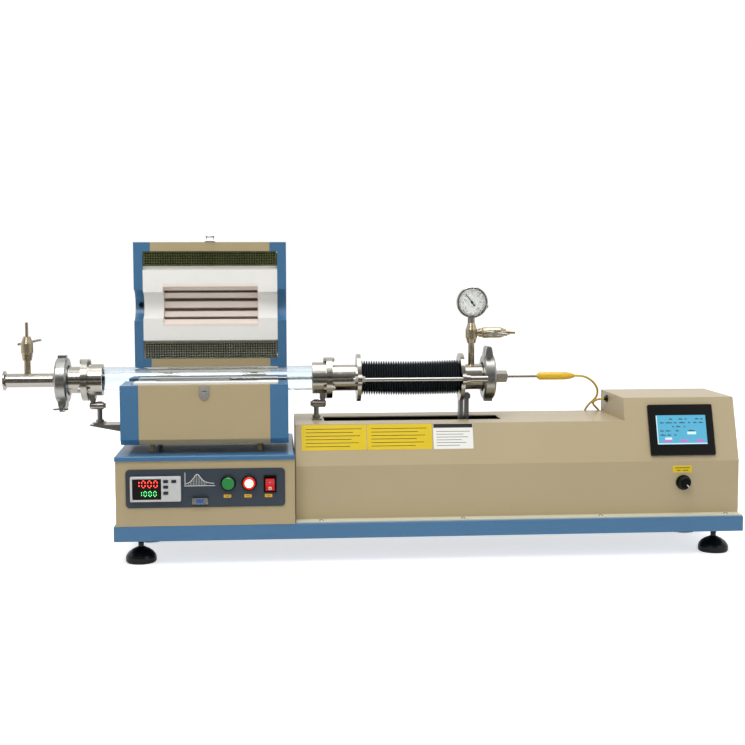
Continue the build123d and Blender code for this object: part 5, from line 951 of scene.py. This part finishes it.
def add_display():
    """The meter's dark window and its two rows of lit figures."""
    seat = panel_seat(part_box("panel_meter")[0][1] + METER_FACE * MM)
    window = moved(rounded_outline(*WINDOW, 1.5), *METER_MIDDLE)
    add_plate("meter_window", window, seat, RIGHT, UP, WINDOW_THICK, PAINTS["glass_dark"], "bench")
    lit = seat + FRONT * (WINDOW_THICK * MM)
    for name, row, paint in DISPLAYS:
        add_bars(name, digit_bars("1000", *row), lit, RIGHT, UP, 0.25, PAINTS[paint], "bench")


def graph_height(x):
    """The drawn curve: a narrow peak on a slight rise."""
    return 159 + 21 * (1 / (1 + ((x - GRAPH_PEAK) / 9) ** 2)) + 2.0 * (x - GRAPH_LEFT) / 54


def add_graph(plate):
    """The hatched curve between its two axes."""
    points = [GRAPH_LEFT + GRAPH_STEP * i for i in range(GRAPH_POINTS)]
    curve = list(GRAPH_AXES)
    curve += [(x0, graph_height(x0), x1, graph_height(x1), 1.0) for x0, x1 in zip(points, points[1:])]
    curve += [(x, 158.5, x, graph_height(x) - 0.8, 0.45) for x in points[GRAPH_HATCHED]]
    add_bars("curve_graphic", curve, plate, RIGHT, UP, 0.12, PAINTS["white"], "bench")


def add_tags(plate):
    """The tags under the buttons and the rocker, with plain strokes in place of words."""
    marks = [(x - 7, TAG_LEVEL, x + 7, TAG_LEVEL, 6.0) for x in TAG_PLACES]
    add_bars("tags", marks, plate, RIGHT, UP, TAG_THICK, PAINTS["tag"], "bench")
    strokes = []
    for x in TAG_PLACES:
        strokes += [(x - 4.5, 137.8, x + 4.5, 137.8, 0.7), (x - 3.0, 136.2, x + 3.0, 136.2, 0.6)]
    add_bars("tag_marks", strokes, plate + FRONT * (TAG_THICK * MM), RIGHT, UP, 0.05, PAINTS["ink"], "bench")


def add_port():
    """The shell of the nine-way port, its insert and its holes."""
    port = panel_seat(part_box("panel_fittings")[0][1])
    rim = moved(rounded_outline(30.0, 12.4, 1.5), *PORT_MIDDLE)
    add_plate("port_shell", rim, port, RIGHT, UP, PORT_SHELL, PAINTS["port_silver"], "bench")
    shell = port + FRONT * (PORT_SHELL * MM)
    blue = PAINTS["port_blue"]
    add_plate("port_insert", PORT_MOUTH, shell, RIGHT, UP, PORT_INSERT, blue, "bench", inset=0.2)
    pins = []
    for left, level, count in PORT_ROWS:
        for i in range(count):
            x = left + PIN_PITCH * i
            pins.append((x, level, x + PIN_WIDTH, level, PIN_WIDTH))
    insert = port + FRONT * ((PORT_SHELL + PORT_INSERT) * MM)
    add_bars("port_holes", pins, insert, RIGHT, UP, 0.05, PAINTS["ink"], "bench")


def add_switch_marks():
    """The glow in the red button's lens, and the line and box on the rocker."""
    low, high = corners_of("red_button")
    centre = (low + high) / 2
    at = (centre.x, low.y + 0.1 * MM, centre.z)
    add_lathe("red_button_glow", GLOW_OUTLINE, at, FRONT, PAINTS["warm_lit"], "red_button", 40)
    low, high = corners_of("power_rocker")
    middle = (low + high) / 2
    for name, bars, deep in (("upper", ROCKER_ON, 2.3), ("lower", ROCKER_OFF, 0.9)):
        face = Vector((middle.x, low.y + deep * MM, middle.z))
        add_bars(f"rocker_mark_{name}", bars, face, RIGHT, UP, 0.35, PAINTS["screen_pale"], "power_rocker")


def add_panel():
    """Everything on the panel that the CAD nodes leave bare."""
    plate = panel_seat(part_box("fascia_plate")[0][1])
    add_display()
    add_graph(plate)
    add_tags(plate)
    add_port()
    add_switch_marks()


# ---------------------------------------------------------------- long housing
# Places on the slope are in millimetres, x from the datum and y up the slope from its fold.
HOUSING_FRONT = 33.3
SLOPE = radians(19.07)
SLOPE_UP = Vector((0, sin(SLOPE), cos(SLOPE)))
SLOPE_OUT = RIGHT.cross(SLOPE_UP)
FOLD = place(0, HOUSING_FRONT, 187)
LABEL_THICK = 0.3
LABEL_MIDDLE = 56.5
LABEL_HEIGHT = 51.0
LABELS = (
    ("label_left", 357.0, 484.5, "label_yellow"),
    ("label_middle", 486.0, 614.4, "label_yellow"),
    ("label_right", 617.0, 696.0, "white"),
)
RULE_ROWS = 6
HEADER = [(617.6, 77.5, 695.4, 77.5, 8.0)]
SCREEN_PROUD = 4.5
SCREEN_MIDDLE = (1117, 63)
SCREEN_THICK = 0.5
SCREEN_FIELDS = [
    (1067.3, 34.0, 1067.3, 92.0, 2.0),
    (1066.5, 34.6, 1167.5, 34.6, 2.0),
    (1082, 44.5, 1096, 44.5, 5.5),
    (1128, 56.0, 1146, 56.0, 5.5),
]
SCREEN_ROWS = (
    (84.5, ((1093, 7), (1112, 9), (1125, 4), (1146, 8), (1157, 5))),
    (77.0, ((1073, 9), (1085, 14), (1102, 6), (1113, 12), (1131, 5), (1142, 7), (1153, 9))),
    (69.0, ((1098, 4), (1106, 9), (1122, 3))),
    (60.5, ((1073, 8), (1084, 10), (1104, 7), (1130, 14))),
    (52.0, ((1073, 11), (1087, 8), (1101, 5))),
)
SCREEN_KEYS = [(1078, 40.2, 1096, 40.2, 5.0), (1112, 40.2, 1130, 40.2, 5.0), (1144, 40.2, 1162, 40.2, 5.0)]
KNOB_TAG_MIDDLE = (1115, 171)
KNOB_TAG_MARKS = [
    (1100, 173.5, 1130, 173.5, 1.4),
    (1103, 168.5, 1111, 168.5, 1.4),
    (1115, 168.5, 1127, 168.5, 1.4),
]
KNOB_AT = (1117, HOUSING_FRONT, 144.5)
SCREW_PLACES = (393.8, 672.0, 946.5, 1200.0)
SCREW_OUT = 14.0
SCREW_OUTLINE = [
    (0.0, 0.0),
    (0.0, 4.6),
    (0.9, 4.6),
    (1.9, 3.6),
    (2.3, 2.2),
    (2.3, 1.7),
    (1.3, 1.4),
    (1.3, 0.0),
]
SCREW_SEAT = 2.0


def add_labels():
    """Bare label plates on the slope, with plain strokes of uneven length in place of words."""
    for name, x0, x1, paint in LABELS:
        plate = moved(rounded_outline(x1 - x0, LABEL_HEIGHT, 1.5), (x0 + x1) / 2, LABEL_MIDDLE)
        add_plate(name, plate, FOLD, RIGHT, SLOPE_UP, LABEL_THICK, PAINTS[paint], "bench", inset=0.1)
    lines = []
    for x0 in (357.0, 486.0):
        for row in range(RULE_ROWS):
            y = 73.5 - row * 7.0
            lines.append((x0 + 8, y, x0 + 118 - (row * 17) % 31, y, 1.1))
    for row in range(RULE_ROWS):
        y = 66.0 - row * 5.6
        lines.append((623, y, 690 - (row * 13) % 22, y, 0.9))
    over = FOLD + SLOPE_OUT * (LABEL_THICK * MM)
    add_bars("label_rules", lines, over, RIGHT, SLOPE_UP, 0.05, PAINTS["ink"], "bench")
    add_bars("label_header", HEADER, over, RIGHT, SLOPE_UP, 0.06, PAINTS["ink"], "bench")


def add_screen():
    """The lit pane of the touch screen with its fields, strokes of text and keys."""
    pane = FOLD + SLOPE_OUT * (SCREEN_PROUD * MM)
    glass = moved(rounded_outline(101.4, 59.4, 0.5), *SCREEN_MIDDLE)
    add_plate("screen_pane", glass, pane, RIGHT, SLOPE_UP, SCREEN_THICK, PAINTS["screen"], "bench", inset=0.1)
    shown = pane + SLOPE_OUT * (SCREEN_THICK * MM)
    add_bars("screen_fields", SCREEN_FIELDS, shown, RIGHT, SLOPE_UP, 0.04, PAINTS["screen_pale"], "bench")
    ink = []
    for level, row in SCREEN_ROWS:
        for x, wide in row:
            ink.append((x, level, x + wide, level, 1.7))
            ink.append((x + wide * 0.3, level + 1.6, x + wide * 0.5, level + 1.6, 1.2))
    above = shown + SLOPE_OUT * (0.04 * MM)
    add_bars("screen_words", ink, above, RIGHT, SLOPE_UP, 0.03, PAINTS["screen_ink"], "bench")
    add_bars("screen_keys", SCREEN_KEYS, shown, RIGHT, SLOPE_UP, 0.05, PAINTS["screen_lilac"], "bench")


def add_knob_marks():
    """The bare tag over the knob and the knob's pointer line."""
    upright = place(0, HOUSING_FRONT, 0)
    tag = moved(rounded_outline(39.0, 14.0, 1.0), *KNOB_TAG_MIDDLE)
    add_plate("knob_tag", tag, upright, RIGHT, UP, LABEL_THICK, PAINTS["label_yellow"], "bench", inset=0.1)
    over = upright + FRONT * (LABEL_THICK * MM)
    add_bars("knob_tag_marks", KNOB_TAG_MARKS, over, RIGHT, UP, 0.05, PAINTS["ink"], "bench")
    knob = place(*KNOB_AT)
    knob.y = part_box("speed_knob")[0][1]
    add_bars("knob_line", [(3.0, -3.0, 7.4, -7.4, 1.5)], knob, RIGHT, UP, 0.15, PAINTS["white"], "speed_knob")


def add_flange_screws():
    """The screws along the housing's flange."""
    for x in SCREW_PLACES:
        head = place(x, HOUSING_FRONT - SCREW_OUT, 0)
        head.z = housing_low.z + SCREW_SEAT * MM
        add_lathe(f"flange_screw_{int(x)}", SCREW_OUTLINE, head, UP, PAINTS["plated"], "bench", 24)


def add_housing_marks():
    """Everything on the long housing that the CAD nodes leave bare."""
    add_labels()
    add_screen()
    add_knob_marks()
    add_flange_screws()


# ---------------------------------------------------------------- gauge
DIAL_START = 225
DIAL_STEP = 9
DIAL_TICKS = 31
LONG_EVERY = 5
FIGURES = 7
FIGURE_SIZE = 5.0
FIGURE_INSET = 10.0


def add_dial():
    """The gauge's white face with its ticks and figures."""
    low, high = corners_of("gauge_lens")
    centre = (low + high) / 2
    radius = (high.x - low.x) / 2 / MM - 0.3
    face_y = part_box("gauge_pointer")[1][1] + 0.15 * MM
    face = [(-0.4, 0.0), (-0.4, radius), (0.0, radius), (0.0, 0.0)]
    at = Vector((centre.x, face_y, centre.z))
    add_lathe("dial_face", face, at, FRONT, PAINTS["white"], "carriage", 64)
    bars = []
    for tick in range(DIAL_TICKS):
        angle = radians(DIAL_START - DIAL_STEP * tick)
        length, width = (6.0, 0.8) if tick % LONG_EVERY == 0 else (3.6, 0.45)
        inner, outer = radius - length, radius - 1.5
        bars.append((inner * cos(angle), inner * sin(angle), outer * cos(angle), outer * sin(angle), width))
    add_bars("dial_ticks", bars, at, RIGHT, UP, 0.05, PAINTS["ink"], "carriage")
    reach = (radius - FIGURE_INSET) * MM
    for figure in range(FIGURES):
        angle = radians(DIAL_START - DIAL_STEP * LONG_EVERY * figure)
        text = bpy.data.curves.new(f"dial_figure_{figure}", "FONT")
        text.body = str(figure * 5)
        text.size, text.align_x, text.align_y = FIGURE_SIZE * MM, "CENTER", "CENTER"
        text.extrude = 0.02 * MM
        text.materials.append(PAINTS["ink"])
        piece = bpy.data.objects.new(f"dial_figure_{figure}", text)
        show(piece)
        piece.location = at + Vector((reach * cos(angle), -0.05 * MM, reach * sin(angle)))
        piece.rotation_euler = (radians(90), 0, 0)
        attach(piece, "carriage")


# ---------------------------------------------------------------- the scene
CARD_LOW = [(-3, -3.2, 0.01), (3, -3.2, 0.01), (3, -0.55, 0.01), (-3, -0.55, 0.01)]
CARD_FAR = [(-3.5, -4.2, 0.25), (3.5, -4.2, 0.25), (3.5, -4.2, 1.35), (-3.5, -4.2, 1.35)]

bpy.context.scene.view_settings.view_transform = "Standard"
add_camera()
light_world(ambient=0.50, behind_camera=0.22)
add_floor(glow=0.66)
add_lamp("key", (-1.0, -2.2, 3.0), (0, 0, 0.3), 1.6, 42)
add_lamp("fill", (2.4, -2.2, 1.6), (0.1, 0, 0.3), 2.0, 10)
add_lamp("top", (0.2, -0.3, 3.0), (0, 0, 0.2), 2.4, 40)
add_card("card_low", CARD_LOW, (0.10, 0.085, 0.06, 1))
add_card("card_far", CARD_FAR, (0.05, 0.045, 0.04, 1))
finish_cad_nodes()
add_cable()
add_bellows()
add_coils("lower_coils", "lower_heater_coils", AXIS_Y, AXIS_Z, False, "bench")
add_coils("lid_coils", "lid_heater_coils", LID_AXIS_Y, LID_AXIS_Z, True, "lid")
add_shields()
add_sensor()
add_panel()
add_housing_marks()
add_dial()
